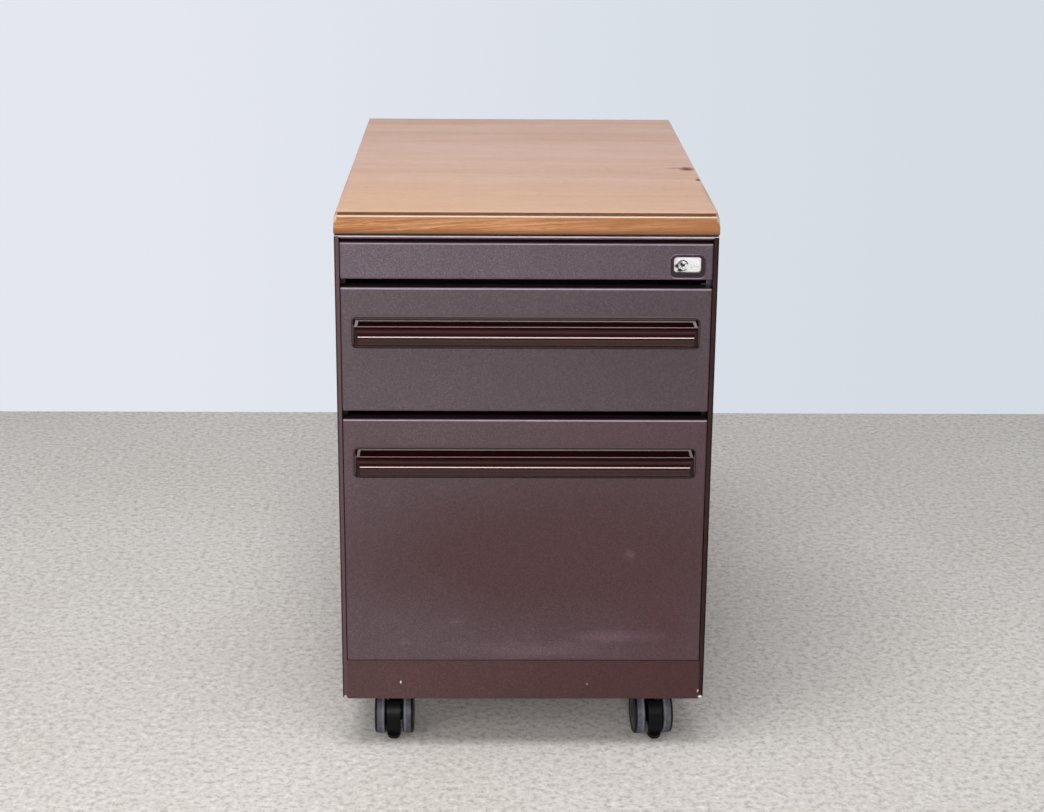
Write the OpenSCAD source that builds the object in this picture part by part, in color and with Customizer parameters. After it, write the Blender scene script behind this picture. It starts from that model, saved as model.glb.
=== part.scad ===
// Mobile drawer pedestal: steel case on four twin-wheel casters, wooden top,
// locking pen tray, box drawer and file drawer on telescopic ball slides.
// Millimetres. X to the right, Y to the back, Z up. Floor at Z = 0.

/* [Case] */
// Width over the two side panels
case_w = 400; // [380:1:440]
// Depth from the front edges of the sides to their back edges
case_d = 605; // [595:1:640]
// Height of the lower edge of the plinth above the floor
floor_gap = 61; // [60:0.5:70]
// Height of the plinth panel under the file drawer
plinth_h = 46; // [40:1:60]
// Thickness of the case steel
sheet = 1; // [0.8:0.1:1.2]
// Width of the side panels' front edges
edge_w = 5; // [4:0.5:6]
// How far the side panels stop above the lower edge of the plinth
side_lift = 1.5; // [1:0.1:2]
// Space over the pen tray front
head_gap = 5.9; // [5:0.1:8]
// Depth of the hem at the front edge of the top pan
pan_hem = 6; // [4:0.5:8]

/* [Wood top] */
// Thickness of the wood top
top_t = 25; // [18:0.5:32]
// How far the wood stands proud of the case at the front
top_front = 6; // [5:0.5:10]
// How far the wood stands proud of the case at the back
top_back = 7; // [2:0.5:20]
// Depth of the solid wood lipping, front to back
lipping_d = 20; // [16:1:30]
// Drop from the top surface to the ledge of the lipping
ledge_drop = 3.5; // [2:0.5:5]
// Depth of the ledge, front to back
ledge_d = 5; // [3:0.5:8]
// Radius of the lipping's lower edge
lipping_r = 3.5; // [1:0.5:5]
// Shadow gap between the case and the lipping
lipping_lift = 1.7; // [0.5:0.1:2.5]
// Width of the bevel along the sides of the wood top
bevel_w = 2.2; // [0.5:0.1:4]
// Height of the bevel along the sides of the wood top
bevel_h = 6.5; // [2:0.5:10]
// How far the worn front corners reach down below the ledge
corner_drop = 11; // [4:0.5:12]
// Distance of the wood screws from the sides of the case
screw_side = 60; // [40:1:100]
// Distance of the wood screws from the front and the back of the case
screw_end = 90; // [60:1:150]

/* [Fronts] */
// Height unit: tray, box drawer and file drawer take 1, 3 and 6 units
unit = 48; // [48:0.5:54]
// Height of the gap under a front
reveal = 9; // [6:0.5:9]
// Gap between the ends of a front and the side panels
side_gap = 0.7; // [0.5:0.1:2]
// Depth of the folded edges of a front
front_d = 18; // [16.5:0.5:19]
// How far a front stands proud of the case
front_proud = 1.5; // [0.5:0.5:3]
// Radius of the folded edges of a front
fold_r = 2; // [1.5:0.1:2.5]

/* [Pulls] */
// Length of the moulded pull
pull_l = 368; // [300:1:372]
// Height of the moulded pull
pull_h = 33.5; // [32:0.5:38]
// Distance from the top edge of a front to the pull
pull_drop = 31; // [20:1:40]
// Height of the half-round nose
nose_h = 21.5; // [19:0.5:23]
// How far the nose stands out of the front
nose_reach = 12; // [11:0.5:16]
// Length of the slanted ends of the nose
nose_end = 6; // [4:0.5:12]
// Depth of the finger pocket behind the front
pocket_d = 15; // [12:0.5:15.5]
// Wall thickness of the moulding
pull_wall = 2.2; // [1.8:0.1:2.6]

/* [Drawers] */
// Travel of the pen tray
tray_travel = 250; // [150:5:260]
// Travel of the box drawer
upper_travel = 400; // [300:5:420]
// Travel of the file drawer
file_travel = 480; // [400:5:490]
// Length of the box drawer body
upper_l = 470; // [455:1:520]
// Length of the file drawer body
file_l = 540; // [515:1:560]
// Length of the pen tray body
tray_l = 345; // [325:1:450]
// Height of the box drawer sides
upper_side_h = 118; // [110:1:122]
// Height of the file drawer sides
file_side_h = 232; // [200:1:245]
// Height of the pen tray sides
tray_side_h = 28; // [24:0.5:30]

/* [Slides] */
// Thickness of a telescopic slide
slide_t = 13; // [12.6:0.1:13.4]
// Length of the box drawer slides
upper_slide_l = 450; // [425:5:450]
// Length of the file drawer slides
file_slide_l = 500; // [495:5:510]
// Height of the box drawer slides
upper_slide_h = 36; // [34:0.5:40]
// Height of the file drawer slides
file_slide_h = 46; // [42:0.5:50]
// Sheet thickness of the slide members
slide_sheet = 1.2; // [1:0.1:1.3]
// Diameter of the slide balls
ball_d = 3.2; // [3:0.1:3.4]
// Height of the box drawer slides over the underside of the drawer
upper_slide_up = 38; // [34:1:42]
// Height of the file drawer slides over the underside of the drawer
file_slide_up = 100; // [80:1:120]

/* [Lock] */
// Distance from the case edge to the lock plug
lock_in = 37; // [34:0.5:42]
// Width of the bezel
bezel_w = 35.8; // [33:0.1:37]
// Height of the bezel
bezel_h = 23.4; // [21:0.1:24]
// Diameter of the turning plug
plug_d = 10; // [9:0.5:11]
// Stroke of the gang bar when the key makes a quarter turn
bar_stroke = 11.3; // [10:0.1:12]
// Space between the box drawer slides and the drawer's catch
upper_catch_up = 26; // [20:1:30]
// Space between the file drawer slides and the drawer's catch
file_catch_up = 70; // [20:1:80]
// Reach of the gang bar below the lowest catch
bar_tail = 60; // [40:1:80]
// Reach of the folded key bow from its hinge
key_l = 16.5; // [14:0.5:20]

/* [Casters] */
// Diameter of a wheel
wheel_d = 50; // [46:0.5:50]
// Width of one wheel
wheel_w = 12; // [10:0.5:13]
// Space between the two wheels of a caster
wheel_gap = 19.2; // [18.4:0.1:22]
// Distance from the axle to the swivel axis
trail = 16; // [14:0.5:18]
// Swivel axes: distance behind the front plane
swivel_front = 61; // [58:1:80]
// Swivel axes: distance in front of the back edge
swivel_back = 61; // [50:1:80]
// Swivel axes: distance from the side of the case
swivel_side = 55; // [50:1:70]
// Diameter of the swivel stem
stem_d = 10; // [8:0.5:11]
// Diameter of the axle
axle_d = 7; // [6:0.5:8]
// Angle at which the right front caster stands
caster_turn = 5.5; // [-30:0.5:30]

/* [Fits] */
// Gap between pieces that move past each other
clear = 0.3; // [0.25:0.05:0.4]
// Radial gap of a shaft in its bore
run = 0.05; // [0.02:0.01:0.09]

/* [Hidden] */
$fn = 48;

paint = [0.33, 0.25, 0.27];
dark_paint = [0.27, 0.2, 0.22];
brown_plastic = [0.22, 0.12, 0.11];
black_plastic = [0.08, 0.08, 0.09];
grey_rubber = [0.3, 0.3, 0.33];
zinc = [0.72, 0.73, 0.75];
bright = [0.86, 0.87, 0.88];
wood = [0.78, 0.58, 0.44];
wood_edge = [0.74, 0.5, 0.34];
nylon = [0.9, 0.9, 0.86];

half_w = case_w / 2;
skin_in = half_w - sheet;

// Levels, from the floor up
pan_z = floor_gap + side_lift;
file_z = floor_gap + plinth_h + 0.6;
upper_z = file_z + 6 * unit;
tray_z = upper_z + 3 * unit;
tray_h = unit - reveal;
upper_h = 3 * unit - reveal;
file_h = 6 * unit - reveal;
corner_tilt = 22.6;
corner_turn = 16.7;
case_top = tray_z + tray_h + head_gap + sheet;
wood_top = case_top + top_t;

// The frame's origin is under the middle of the object
front_reach = front_proud + nose_reach;
full_d = front_reach + case_d + top_back;
front_y = front_reach - full_d / 2;

front_w = case_w - 2 * edge_w - 2 * side_gap;
front_face = -front_proud;
front_back = front_face + front_d;

// Side panels
lip_d = 12;
lip_in = half_w - edge_w;
rear_lip = 12;
back_in = case_d - 2 * sheet;

// Uprights and what lies between them and the drawers
upright_t = 7;
rail_x = skin_in - upright_t;
body_x = rail_x - slide_t;
upright_w = 24;
upright_foot = 6;
upright_front = 42;
slide_y = upright_front;
upright_back = slide_y + upper_slide_l - 35;
upright_z = pan_z + 18;
upright_top = case_top - 16;

// Drawer bodies
file_body_z = file_z + 6;
upper_body_z = upper_z + 6;
tray_body_z = tray_z + 2.6;
hem = 3;

// Slide heights
file_slide_z = file_body_z + file_slide_up;
upper_slide_z = upper_body_z + upper_slide_up;

// Lock
lock_x = half_w - lock_in;
lock_z = tray_z + 15;
bezel_x = half_w - 13.9 - bezel_w / 2;
bezel_z = lock_z - 0.3;
rim_left = 3.3;
rim_right = 4.2;
rim_top = 1.8;
rim_low = 5.2;
plate_w = bezel_w - rim_left - rim_right;
plate_h = bezel_h - rim_top - rim_low;
plate_x = bezel_x + (rim_left - rim_right) / 2;
plate_z = bezel_z + (rim_low - rim_top) / 2;
plate_back = 3.2;
plate_t = 1.2;
housing_d = 17;
housing_end = 21;
crank_r = bar_stroke / sqrt(2);
crank_pin = 4;
bolt_y = housing_end + 3;
bolt_t = 2;
bolt_half = 5.2;
wedge = 4;

// Gang bar
bar_t = 1.7;
bar_x = skin_in - 1.4 - bar_t;
bar_y = 14;
bar_w = 18;
hook_y = 22;
hook_t = 2;
hook_h = 6.5;
catch_h = 9;
catch_y = hook_y + hook_t + 3;
catch_t = 3;
hook_in = body_x + 2.5;
tray_hook_z = tray_z - 13;
tray_hook_in = half_w - 15;
upper_catch_z = upper_slide_z + upper_slide_h / 2 + upper_catch_up;
file_catch_z = file_slide_z + file_slide_h / 2 + file_catch_up;
bar_low = file_catch_z - bar_tail;
bar_top = lock_z + 11;
bolt_tip = bar_x - clear - bar_stroke;

// Casters
axle_z = wheel_d / 2;
wheel_in = wheel_gap / 2;
wheel_out = wheel_in + wheel_w;
plate_low = pan_z - 2.5;
fork_half = wheel_in - 0.4;
neck_top = axle_z + 5;
neck_low = 8;
sleeve_top = plate_low - 7;
cheek_t = 2.9;
hub_half = fork_half - cheek_t - clear;
tongue_in = wheel_d / 2 + 3.5;
tongue_out = tongue_in + 3.5;
tongue_half = 7.7;
tongue_droop = 30;
tip_reach = 4;
tip_below = 3.4;
axle_half = wheel_out - 2.2;

// ---------------------------------------------------------------- helpers

// Moves a piece from the front plane of the case into the frame
module in_case() {
    translate([0, front_y, 0]) children();
}

module both_sides() {
    children();
    mirror([1, 0, 0]) children();
}

// A block given by its low and high corners
module block(low, high) {
    translate(low) cube(high - low);
}

// A profile in the YZ plane, drawn as [y, z], between two places along X
module along_x(x0, x1) {
    translate([x0, 0, 0]) rotate([90, 0, 90]) linear_extrude(x1 - x0) children();
}

// A profile in the XZ plane, drawn as [x, z], between two places along Y
module along_y(y0, y1) {
    translate([0, y1, 0]) rotate([90, 0, 0]) linear_extrude(y1 - y0) children();
}

// A rectangle with round corners, made of exact arcs
module round_rect(w, h, r) {
    union() {
        translate([-w / 2 + r, -h / 2]) square([w - 2 * r, h]);
        translate([-w / 2, -h / 2 + r]) square([w, h - 2 * r]);
        for (sx = [-1, 1], sz = [-1, 1])
            translate([sx * (w / 2 - r), sz * (h / 2 - r)]) circle(r);
    }
}

// ------------------------------------------------------------------- case

module side_right_shape() {
    profile = [
        [half_w, 0], [half_w, case_d], [half_w - rear_lip, case_d],
        [half_w - rear_lip, case_d - sheet], [skin_in, case_d - sheet], [skin_in, sheet],
        [lip_in + sheet, sheet], [lip_in + sheet, lip_d], [lip_in, lip_d], [lip_in, 0]
    ];
    translate([0, 0, pan_z]) linear_extrude(case_top - sheet - pan_z) polygon(profile);
}

module side_right() {
    color(paint) in_case() side_right_shape();
}

module side_left() {
    color(paint) in_case() mirror([1, 0, 0]) side_right_shape();
}

module back_panel() {
    color(paint) in_case()
        block([-skin_in, back_in, pan_z], [skin_in, back_in + sheet, case_top - sheet]);
}

// Bottom of the case: a pan with three upturned edges
module base_pan() {
    flange = 15;
    color(paint) in_case() difference() {
        block([-skin_in, lip_d + 1, pan_z], [skin_in, back_in, pan_z + flange]);
        block([-skin_in + sheet, 0, pan_z + sheet], [skin_in - sheet, back_in - sheet, pan_z + flange + 1]);
    }
}

// Front panel under the file drawer, folded back at its top and bottom
module plinth() {
    t = side_lift;
    low = floor_gap;
    high = floor_gap + plinth_h;
    profile = [
        [0, low], [30, low], [30, low + t], [t, low + t], [t, high - t],
        [20, high - t], [20, high], [0, high]
    ];
    color(paint) in_case() along_x(-lip_in, lip_in) polygon(profile);
}

module top_pan() {
    flange = 12;
    color(paint) in_case() union() {
        difference() {
            union() {
                block([-half_w, 0, case_top - sheet], [half_w, case_d, case_top]);
                block([-skin_in, lip_d + 1, case_top - flange], [skin_in, back_in, case_top]);
            }
            block(
                [-skin_in + sheet, 0, case_top - flange - 1],
                [skin_in - sheet, back_in - sheet, case_top - sheet]
            );
            top_screw_places() translate([0, 0, case_top - 3]) cylinder(d = 5, h = 4);
        }
        // hemmed front edge between the lips of the sides
        block([-lip_in, 0, case_top - 2 * sheet], [lip_in, pan_hem, case_top]);
    }
}

// Stiffener under the front of the top pan
module top_rail() {
    front = pan_hem + 2;
    back = front + 22;
    low = case_top - sheet - 4;
    high = case_top - sheet;
    profile = [
        [front, high], [front, low], [back, low], [back, high],
        [back - sheet, high], [back - sheet, low + sheet], [front + sheet, low + sheet], [front + sheet, high]
    ];
    color(dark_paint) in_case() along_x(-lip_in + 1, lip_in - 1) polygon(profile);
}

// Slotted hat section that carries the slides
module upright() {
    w = upright_w;
    foot = upright_foot;
    web = [rail_x, rail_x + sheet];
    profile = [
        [skin_in, -foot], [skin_in, sheet], [web[1], sheet], [web[1], w - sheet], [skin_in, w - sheet],
        [skin_in, w + foot], [skin_in - sheet, w + foot], [skin_in - sheet, w], [web[0], w], [web[0], 0],
        [skin_in - sheet, 0], [skin_in - sheet, -foot]
    ];
    slot_pitch = 32;
    slots = floor((upright_top - upright_z - 20) / slot_pitch);
    difference() {
        translate([0, 0, upright_z]) linear_extrude(upright_top - upright_z) polygon(profile);
        for (i = [0 : slots])
            block(
                [rail_x - 1, w / 2 - 2, upright_z + 10 + i * slot_pitch],
                [rail_x + sheet + 1, w / 2 + 2, upright_z + 22 + i * slot_pitch]
            );
    }
}

module uprights() {
    color(dark_paint) in_case() both_sides()
        for (y = [upright_front, upright_back]) translate([0, y, 0]) upright();
}

// --------------------------------------------------------------- wood top

module top_screw_places() {
    for (x = [-1, 1], y = [screw_end, case_d - screw_end])
        translate([x * (half_w - screw_side), y, 0]) children();
}

// Front view of the wood top with its bevelled sides, as [x, z]
module top_section(low) {
    bevel_low = wood_top - bevel_h;
    polygon([
        [-half_w, low], [-half_w, bevel_low], [bevel_w - half_w, wood_top],
        [half_w - bevel_w, wood_top], [half_w, bevel_low], [half_w, low]
    ]);
}

module top_board() {
    color(wood) in_case() difference() {
        along_y(lipping_d - top_front, case_d + top_back) top_section(case_top);
        top_screw_places() translate([0, 0, case_top - 1]) cylinder(d = 4.2, h = 15);
    }
}

// Solid wood nosing: a ledge under the top surface, round lower edge, worn upper corners
module top_lipping() {
    r = lipping_r;
    nose = 1.5;
    end_r = 3;
    f = -top_front;
    b = lipping_d - top_front;
    low = case_top + lipping_lift;
    ledge = wood_top - ledge_drop;
    color(wood_edge) in_case() difference() {
        intersection() {
            along_x(-half_w, half_w) union() {
                translate([f + ledge_d, low]) square([b - f - ledge_d, wood_top - low]);
                translate([f + r, low]) square([ledge_d, ledge - low]);
                translate([f, low + r]) square([r + 1, ledge - low - r - nose]);
                translate([f + nose, ledge - nose - 1]) square([r + 1, nose + 1]);
                translate([f + r, low + r]) circle(r);
                translate([f + nose, ledge - nose]) circle(nose);
            }
            along_y(f, b) top_section(low);
            translate([0, 0, low + top_t]) along_y(f, b) round_rect(case_w, 2 * top_t, end_r);
        }
        // worn corners, cut slanting off the ends of the ledge
        both_sides() translate([half_w, f, ledge - corner_drop])
            rotate([0, -corner_tilt, -corner_turn]) translate([0, -30, -30]) cube([20, 60, 60]);
    }
}

module top_screws() {
    color(zinc) in_case() top_screw_places() {
        translate([0, 0, case_top - sheet - 2.4]) cylinder(d = 9, h = 2.4);
        translate([0, 0, case_top - sheet - 1]) cylinder(d = 4, h = 13);
    }
}

// ---------------------------------------------------------------- fronts

// Folded steel front: a double skin with round outer edges
module front_pan(low, h) {
    translate([0, 0, low + h / 2]) difference() {
        union() {
            along_y(front_face + fold_r, front_back) round_rect(front_w, h, fold_r);
            along_x(-front_w / 2 + fold_r, front_w / 2 - fold_r) front_edges(h);
            translate([0, 0, -h / 2 + fold_r]) linear_extrude(h - 2 * fold_r) front_plan();
            for (sx = [-1, 1], sz = [-1, 1])
                translate([sx * (front_w / 2 - fold_r), front_face + fold_r, sz * (h / 2 - fold_r)])
                    sphere(fold_r);
        }
        along_y(front_face + sheet, front_back - sheet)
            round_rect(front_w - 2 * sheet, h - 2 * sheet, fold_r - sheet);
    }
}

// Side view of a front's round edges, as [y, z] about its middle
module front_edges(h) {
    translate([front_face, -h / 2 + fold_r]) square([fold_r + 1, h - 2 * fold_r]);
    for (s = [-1, 1])
        translate([front_face + fold_r, s * (h / 2 - fold_r)]) circle(fold_r);
}

// Plan of a front's round edges, as [x, y]
module front_plan() {
    w = front_w;
    translate([-w / 2 + fold_r, front_face]) square([w - 2 * fold_r, fold_r + 1]);
    for (s = [-1, 1])
        translate([s * (w / 2 - fold_r), front_face + fold_r]) circle(fold_r);
}

// Opening in a front for the moulded pull
module pull_hole(low, h) {
    z = low + h - pull_drop - pull_h / 2;
    translate([0, 0, z]) along_y(front_face - 1, front_face + sheet + 1)
        round_rect(pull_l + 0.6, pull_h + 0.6, 6.8);
}

// Moulded pull: flanged tray with a hollow half-round nose, entered from above
module pull(low, h) {
    base = low + h - pull_drop - pull_h;
    wall = pull_wall;
    nose_r = nose_h / 2;
    nose_z = base + 0.6 + nose_r;
    out = front_face;
    nose_y = out - nose_reach + nose_r;
    cut = nose_end;
    half = pull_l / 2;
    nose_half = half - wall;
    outer_plan = [
        [-nose_half, out], [-nose_half + cut, out - nose_reach], [nose_half - cut, out - nose_reach],
        [nose_half, out], [nose_half, out + 5], [-nose_half, out + 5]
    ];
    inner_half = nose_half - 2 * wall;
    inner_plan = [
        [-inner_half, out], [-inner_half + cut, out - nose_reach], [inner_half - cut, out - nose_reach],
        [inner_half, out], [inner_half, out + pocket_d], [-inner_half, out + pocket_d]
    ];
    difference() {
        union() {
            translate([0, 0, base + pull_h / 2]) along_y(out, out + pocket_d)
                round_rect(pull_l, pull_h, 6.5);
            translate([0, 0, base + pull_h / 2]) along_y(out - 0.8, out)
                round_rect(pull_l + 2.4, pull_h + 2.4, 7.7);
            intersection() {
                along_x(-half, half) union() {
                    translate([nose_y, nose_z]) circle(nose_r);
                    translate([nose_y, nose_z - nose_r]) square([out + 1 - nose_y, nose_h]);
                }
                translate([0, 0, base]) linear_extrude(pull_h) polygon(outer_plan);
            }
        }
        // pocket above the nose, open to the front
        translate([0, 0, nose_z + nose_r + (base + pull_h - wall - nose_z - nose_r) / 2])
            along_y(out - nose_reach - 1, out + pocket_d - wall)
                round_rect(pull_l - 2 * wall, base + pull_h - wall - nose_z - nose_r, 3);
        // hollow behind and inside the nose
        intersection() {
            along_x(-half, half) union() {
                translate([nose_y, nose_z]) circle(nose_r - wall);
                translate([nose_y, nose_z - nose_r + wall])
                    square([out + pocket_d - wall - nose_y, nose_h - 2 * wall]);
                translate([out + wall, nose_z]) square([pocket_d - 2 * wall, nose_r + 3]);
            }
            translate([0, 0, base]) linear_extrude(pull_h) polygon(inner_plan);
        }
    }
}

// -------------------------------------------------------- drawer bodies

// Steel drawer body with hemmed side and back edges
module drawer_box(low, len, side_h) {
    x = body_x;
    y0 = front_back;
    y1 = front_back + len;
    top = low + side_h;
    difference() {
        block([-x, y0, low], [x, y1, top]);
        block([-x + sheet, y0 + sheet, low + sheet], [x - sheet, y1 - sheet, top + 1]);
    }
    both_sides() block([x - hem, y0, top - hem], [x - sheet, y1, top]);
    block([-x, y1 - hem, top - hem], [x, y1 - sheet, top]);
}

// Bracket on a drawer's right side, which the gang hook stands in front of
module catch(z) {
    foot = 16;
    block([body_x, catch_y, z], [body_x + 9, catch_y + catch_t, z + catch_h]);
    block([body_x, catch_y, z], [body_x + 1.5, catch_y + foot, z + catch_h]);
}

// ------------------------------------------------------- telescopic slides

// The three nested members, as [x, z] from the case side; half section heights below
function mid_half(h) = h / 2 - slide_sheet - ball_d + 0.2;
function inner_half(h) = mid_half(h) - slide_sheet - ball_d + 0.2;

mid_web = slide_sheet + 1.1;
inner_reach = mid_web + slide_sheet + 1.1;
race_x = 7.2;
race_r = ball_d / 2 + 0.08;

module channel(x0, x1, half, web_at_x0) {
    web_x = web_at_x0 ? x0 : x1 - slide_sheet;
    translate([web_x, -half]) square([slide_sheet, 2 * half]);
    for (s = [-1, 1])
        translate([x0, s > 0 ? half - slide_sheet : -half]) square([x1 - x0, slide_sheet]);
}

module races(z) {
    for (s = [-1, 1])
        translate([race_x, s * z]) circle(race_r, $fn = 32);
}

module case_member(h) {
    ball_z = (h / 2 - slide_sheet + mid_half(h)) / 2;
    difference() {
        channel(0, slide_t - 1.4, h / 2, true);
        races(ball_z);
    }
}

module mid_member(h) {
    m = mid_half(h);
    outer_z = (h / 2 - slide_sheet + m) / 2;
    inner_z = (m - slide_sheet + inner_half(h)) / 2;
    difference() {
        channel(mid_web, slide_t - 1.6, m, true);
        races(outer_z);
        races(inner_z);
    }
}

module inner_member(h) {
    m = inner_half(h);
    ball_z = (mid_half(h) - slide_sheet + m) / 2;
    difference() {
        channel(inner_reach, slide_t, m, false);
        races(ball_z);
    }
}

// Draws a slide section on both sides of the case, from the upright inwards
module slide_pair(y0, y1, z) {
    both_sides() along_y(y0, y1) translate([rail_x, z]) mirror([1, 0]) children();
}

// Ball cage: bent strip with the balls of an upper and a lower race
module ball_cage(x0, ball_z, travel, len, z) {
    y0 = slide_y + travel / 4 + 5;
    y1 = slide_y + len - travel / 4 - 5;
    balls = floor((y1 - y0 - 12) / 24);
    strip = 0.6;
    web = 0.5;
    both_sides() {
        along_y(y0, y1) translate([rail_x, z]) mirror([1, 0]) {
            translate([x0, -ball_z - strip / 2]) square([web, 2 * ball_z + strip]);
            for (s = [-1, 1])
                translate([x0, s * ball_z - strip / 2]) square([race_x + 2.4 - x0, strip]);
        }
        for (i = [0 : balls], s = [-1, 1])
            translate([rail_x - race_x, y0 + 6 + i * 24, z + s * ball_z]) sphere(d = ball_d, $fn = 24);
    }
}

module case_cage(h, travel, len, z) {
    ball_z = (h / 2 - slide_sheet + mid_half(h)) / 2;
    ball_cage(slide_sheet + 0.3, ball_z, travel, len, z);
}

module inner_cage(h, travel, len, z) {
    ball_z = (mid_half(h) - slide_sheet + inner_half(h)) / 2;
    ball_cage(mid_web + slide_sheet + 0.3, ball_z, travel, len, z);
}

module upper_slide_case() {
    color(zinc) in_case() slide_pair(slide_y, slide_y + upper_slide_l, upper_slide_z)
        case_member(upper_slide_h);
}

module upper_slide_mid() {
    color(zinc) in_case() slide_pair(slide_y, slide_y + upper_slide_l, upper_slide_z)
        mid_member(upper_slide_h);
}

module upper_slide_inner() {
    color(zinc) in_case() slide_pair(front_back, slide_y + upper_slide_l, upper_slide_z)
        inner_member(upper_slide_h);
}

module upper_case_cages() {
    color(zinc) in_case() case_cage(upper_slide_h, upper_travel, upper_slide_l, upper_slide_z);
}

module upper_inner_cages() {
    color(zinc) in_case() inner_cage(upper_slide_h, upper_travel, upper_slide_l, upper_slide_z);
}

module file_slide_case() {
    color(zinc) in_case() slide_pair(slide_y, slide_y + file_slide_l, file_slide_z)
        case_member(file_slide_h);
}

module file_slide_mid() {
    color(zinc) in_case() slide_pair(slide_y, slide_y + file_slide_l, file_slide_z)
        mid_member(file_slide_h);
}

module file_slide_inner() {
    color(zinc) in_case() slide_pair(front_back, slide_y + file_slide_l, file_slide_z)
        inner_member(file_slide_h);
}

module file_case_cages() {
    color(zinc) in_case() case_cage(file_slide_h, file_travel, file_slide_l, file_slide_z);
}

module file_inner_cages() {
    color(zinc) in_case() inner_cage(file_slide_h, file_travel, file_slide_l, file_slide_z);
}

// ------------------------------------------------------------ box drawer

module upper_front() {
    color(paint) in_case() difference() {
        front_pan(upper_z, upper_h);
        pull_hole(upper_z, upper_h);
    }
}

module upper_pull() {
    color(brown_plastic) in_case() pull(upper_z, upper_h);
}

module upper_body() {
    color(dark_paint) in_case() drawer_box(upper_body_z, upper_l, upper_side_h);
}

module upper_catch() {
    color(zinc) in_case() catch(upper_catch_z);
}

// ----------------------------------------------------------- file drawer

module file_front() {
    color(paint) in_case() difference() {
        front_pan(file_z, file_h);
        pull_hole(file_z, file_h);
    }
}

module file_pull() {
    color(brown_plastic) in_case() pull(file_z, file_h);
}

module file_body() {
    color(dark_paint) in_case() drawer_box(file_body_z, file_l, file_side_h);
}

module file_catch() {
    color(zinc) in_case() catch(file_catch_z);
}

// Rails for hanging folders, clipped over the hemmed sides
module file_rails() {
    top = file_body_z + file_side_h;
    x = body_x;
    rail_y0 = front_back + 6;
    rail_y1 = front_back + file_l - 6;
    profile = [
        [x, top], [x, top + 8], [x - 1.5, top + 8], [x - 1.5, top + 1.5], [x - 11, top + 1.5],
        [x - 11, top + 8], [x - 12.5, top + 8], [x - 12.5, top]
    ];
    color(zinc) in_case() both_sides() along_y(rail_y0, rail_y1) polygon(profile);
}

// --------------------------------------------------------------- pen tray

module tray_front() {
    color(paint) in_case() difference() {
        front_pan(tray_z, tray_h);
        translate([bezel_x, 0, bezel_z]) along_y(front_face - 1, front_face + sheet + 1)
            round_rect(bezel_w + 0.4, bezel_h + 0.4, 6);
        translate([lock_x, 0, lock_z]) along_y(0, front_back + 1) circle(d = housing_d);
    }
}

tray_rail_low = tray_body_z - 1;
tray_rail_high = tray_rail_low + 12;
runner_z = tray_rail_low + sheet + clear;
runner_t = 2;
runner_y = catch_y + 1;
runner_reach = rail_x - sheet - 1;
tray_hook_foot = runner_z - 2 * clear - bar_stroke - tray_hook_z;

// Shallow steel tray, notched for the lock bolt
module tray_body() {
    x = body_x;
    y0 = front_back;
    y1 = y0 + tray_l;
    low = tray_body_z;
    color(dark_paint) in_case() difference() {
        block([-x, y0, low], [x, y1, low + tray_side_h]);
        block([-x + sheet, y0 - 1, low + sheet], [x - sheet, y1 - sheet, low + tray_side_h + 1]);
        block([x - 2, y0 - 1, lock_z - 8], [x + 1, bolt_y + bolt_t + 3, low + tray_side_h + 1]);
    }
}

// Angles on the tray's sides that slide on the lower flanges of the rails
module tray_runners() {
    x = body_x;
    color(zinc) in_case() both_sides() {
        block([x, runner_y, runner_z], [x + sheet, front_back + tray_l, runner_z + 9]);
        block([x, runner_y, runner_z], [runner_reach, front_back + tray_l, runner_z + runner_t]);
    }
    // stop for the gang bar's hook
    color(zinc) in_case()
        block([x, catch_y, runner_z], [lip_in - 1, catch_y + catch_t, runner_z + 3.4]);
}

// Moulded organiser: pen grooves across the front, compartments behind
module pen_insert() {
    gap = 0.5;
    x = body_x - sheet - gap;
    y0 = front_back + 32;
    y1 = front_back + tray_l - sheet - gap;
    low = tray_body_z + sheet;
    h = 17;
    wall = 1.8;
    groove_r = 9;
    grooves = 2;
    pitch = 2 * groove_r + wall;
    box_y = y0 + wall + grooves * pitch;
    cells = 3;
    cell_w = (2 * x - wall * (cells + 1)) / cells;
    color(black_plastic) in_case() difference() {
        block([-x, y0, low], [x, y1, low + h]);
        for (i = [0 : grooves - 1])
            along_x(-x + wall, x - wall) {
                translate([y0 + wall + groove_r + i * pitch, low + wall + groove_r]) circle(groove_r);
                translate([y0 + wall + i * pitch, low + wall + groove_r]) square([2 * groove_r, h]);
            }
        for (i = [0 : cells - 1])
            block(
                [-x + wall + i * (cell_w + wall), box_y, low + wall],
                [-x + (i + 1) * (cell_w + wall), y1 - wall, low + h + 1]
            );
    }
}

// Channels on the uprights that the tray's runners slide in
module tray_rails() {
    x0 = body_x + 1.4;
    low = tray_rail_low;
    high = tray_rail_high;
    t = sheet;
    profile = [
        [x0, low], [rail_x, low], [rail_x, high], [x0, high], [x0, high - t],
        [rail_x - t, high - t], [rail_x - t, low + t], [x0, low + t]
    ];
    color(zinc) in_case() both_sides() along_y(upright_front, case_d - 60) polygon(profile);
}

// Nylon blocks at the back ends of the runners, inside the rails
module tray_glides() {
    t = sheet;
    y1 = front_back + tray_l;
    color(nylon) in_case() both_sides() difference() {
        block(
            [body_x + 1.7, y1 - 30, tray_rail_low + t + clear],
            [rail_x - t - clear, y1, tray_rail_high - t - clear]
        );
        block([0, y1 - 31, runner_z], [runner_reach, y1 + 1, runner_z + runner_t]);
    }
}

// ------------------------------------------------------------------- lock

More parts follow.
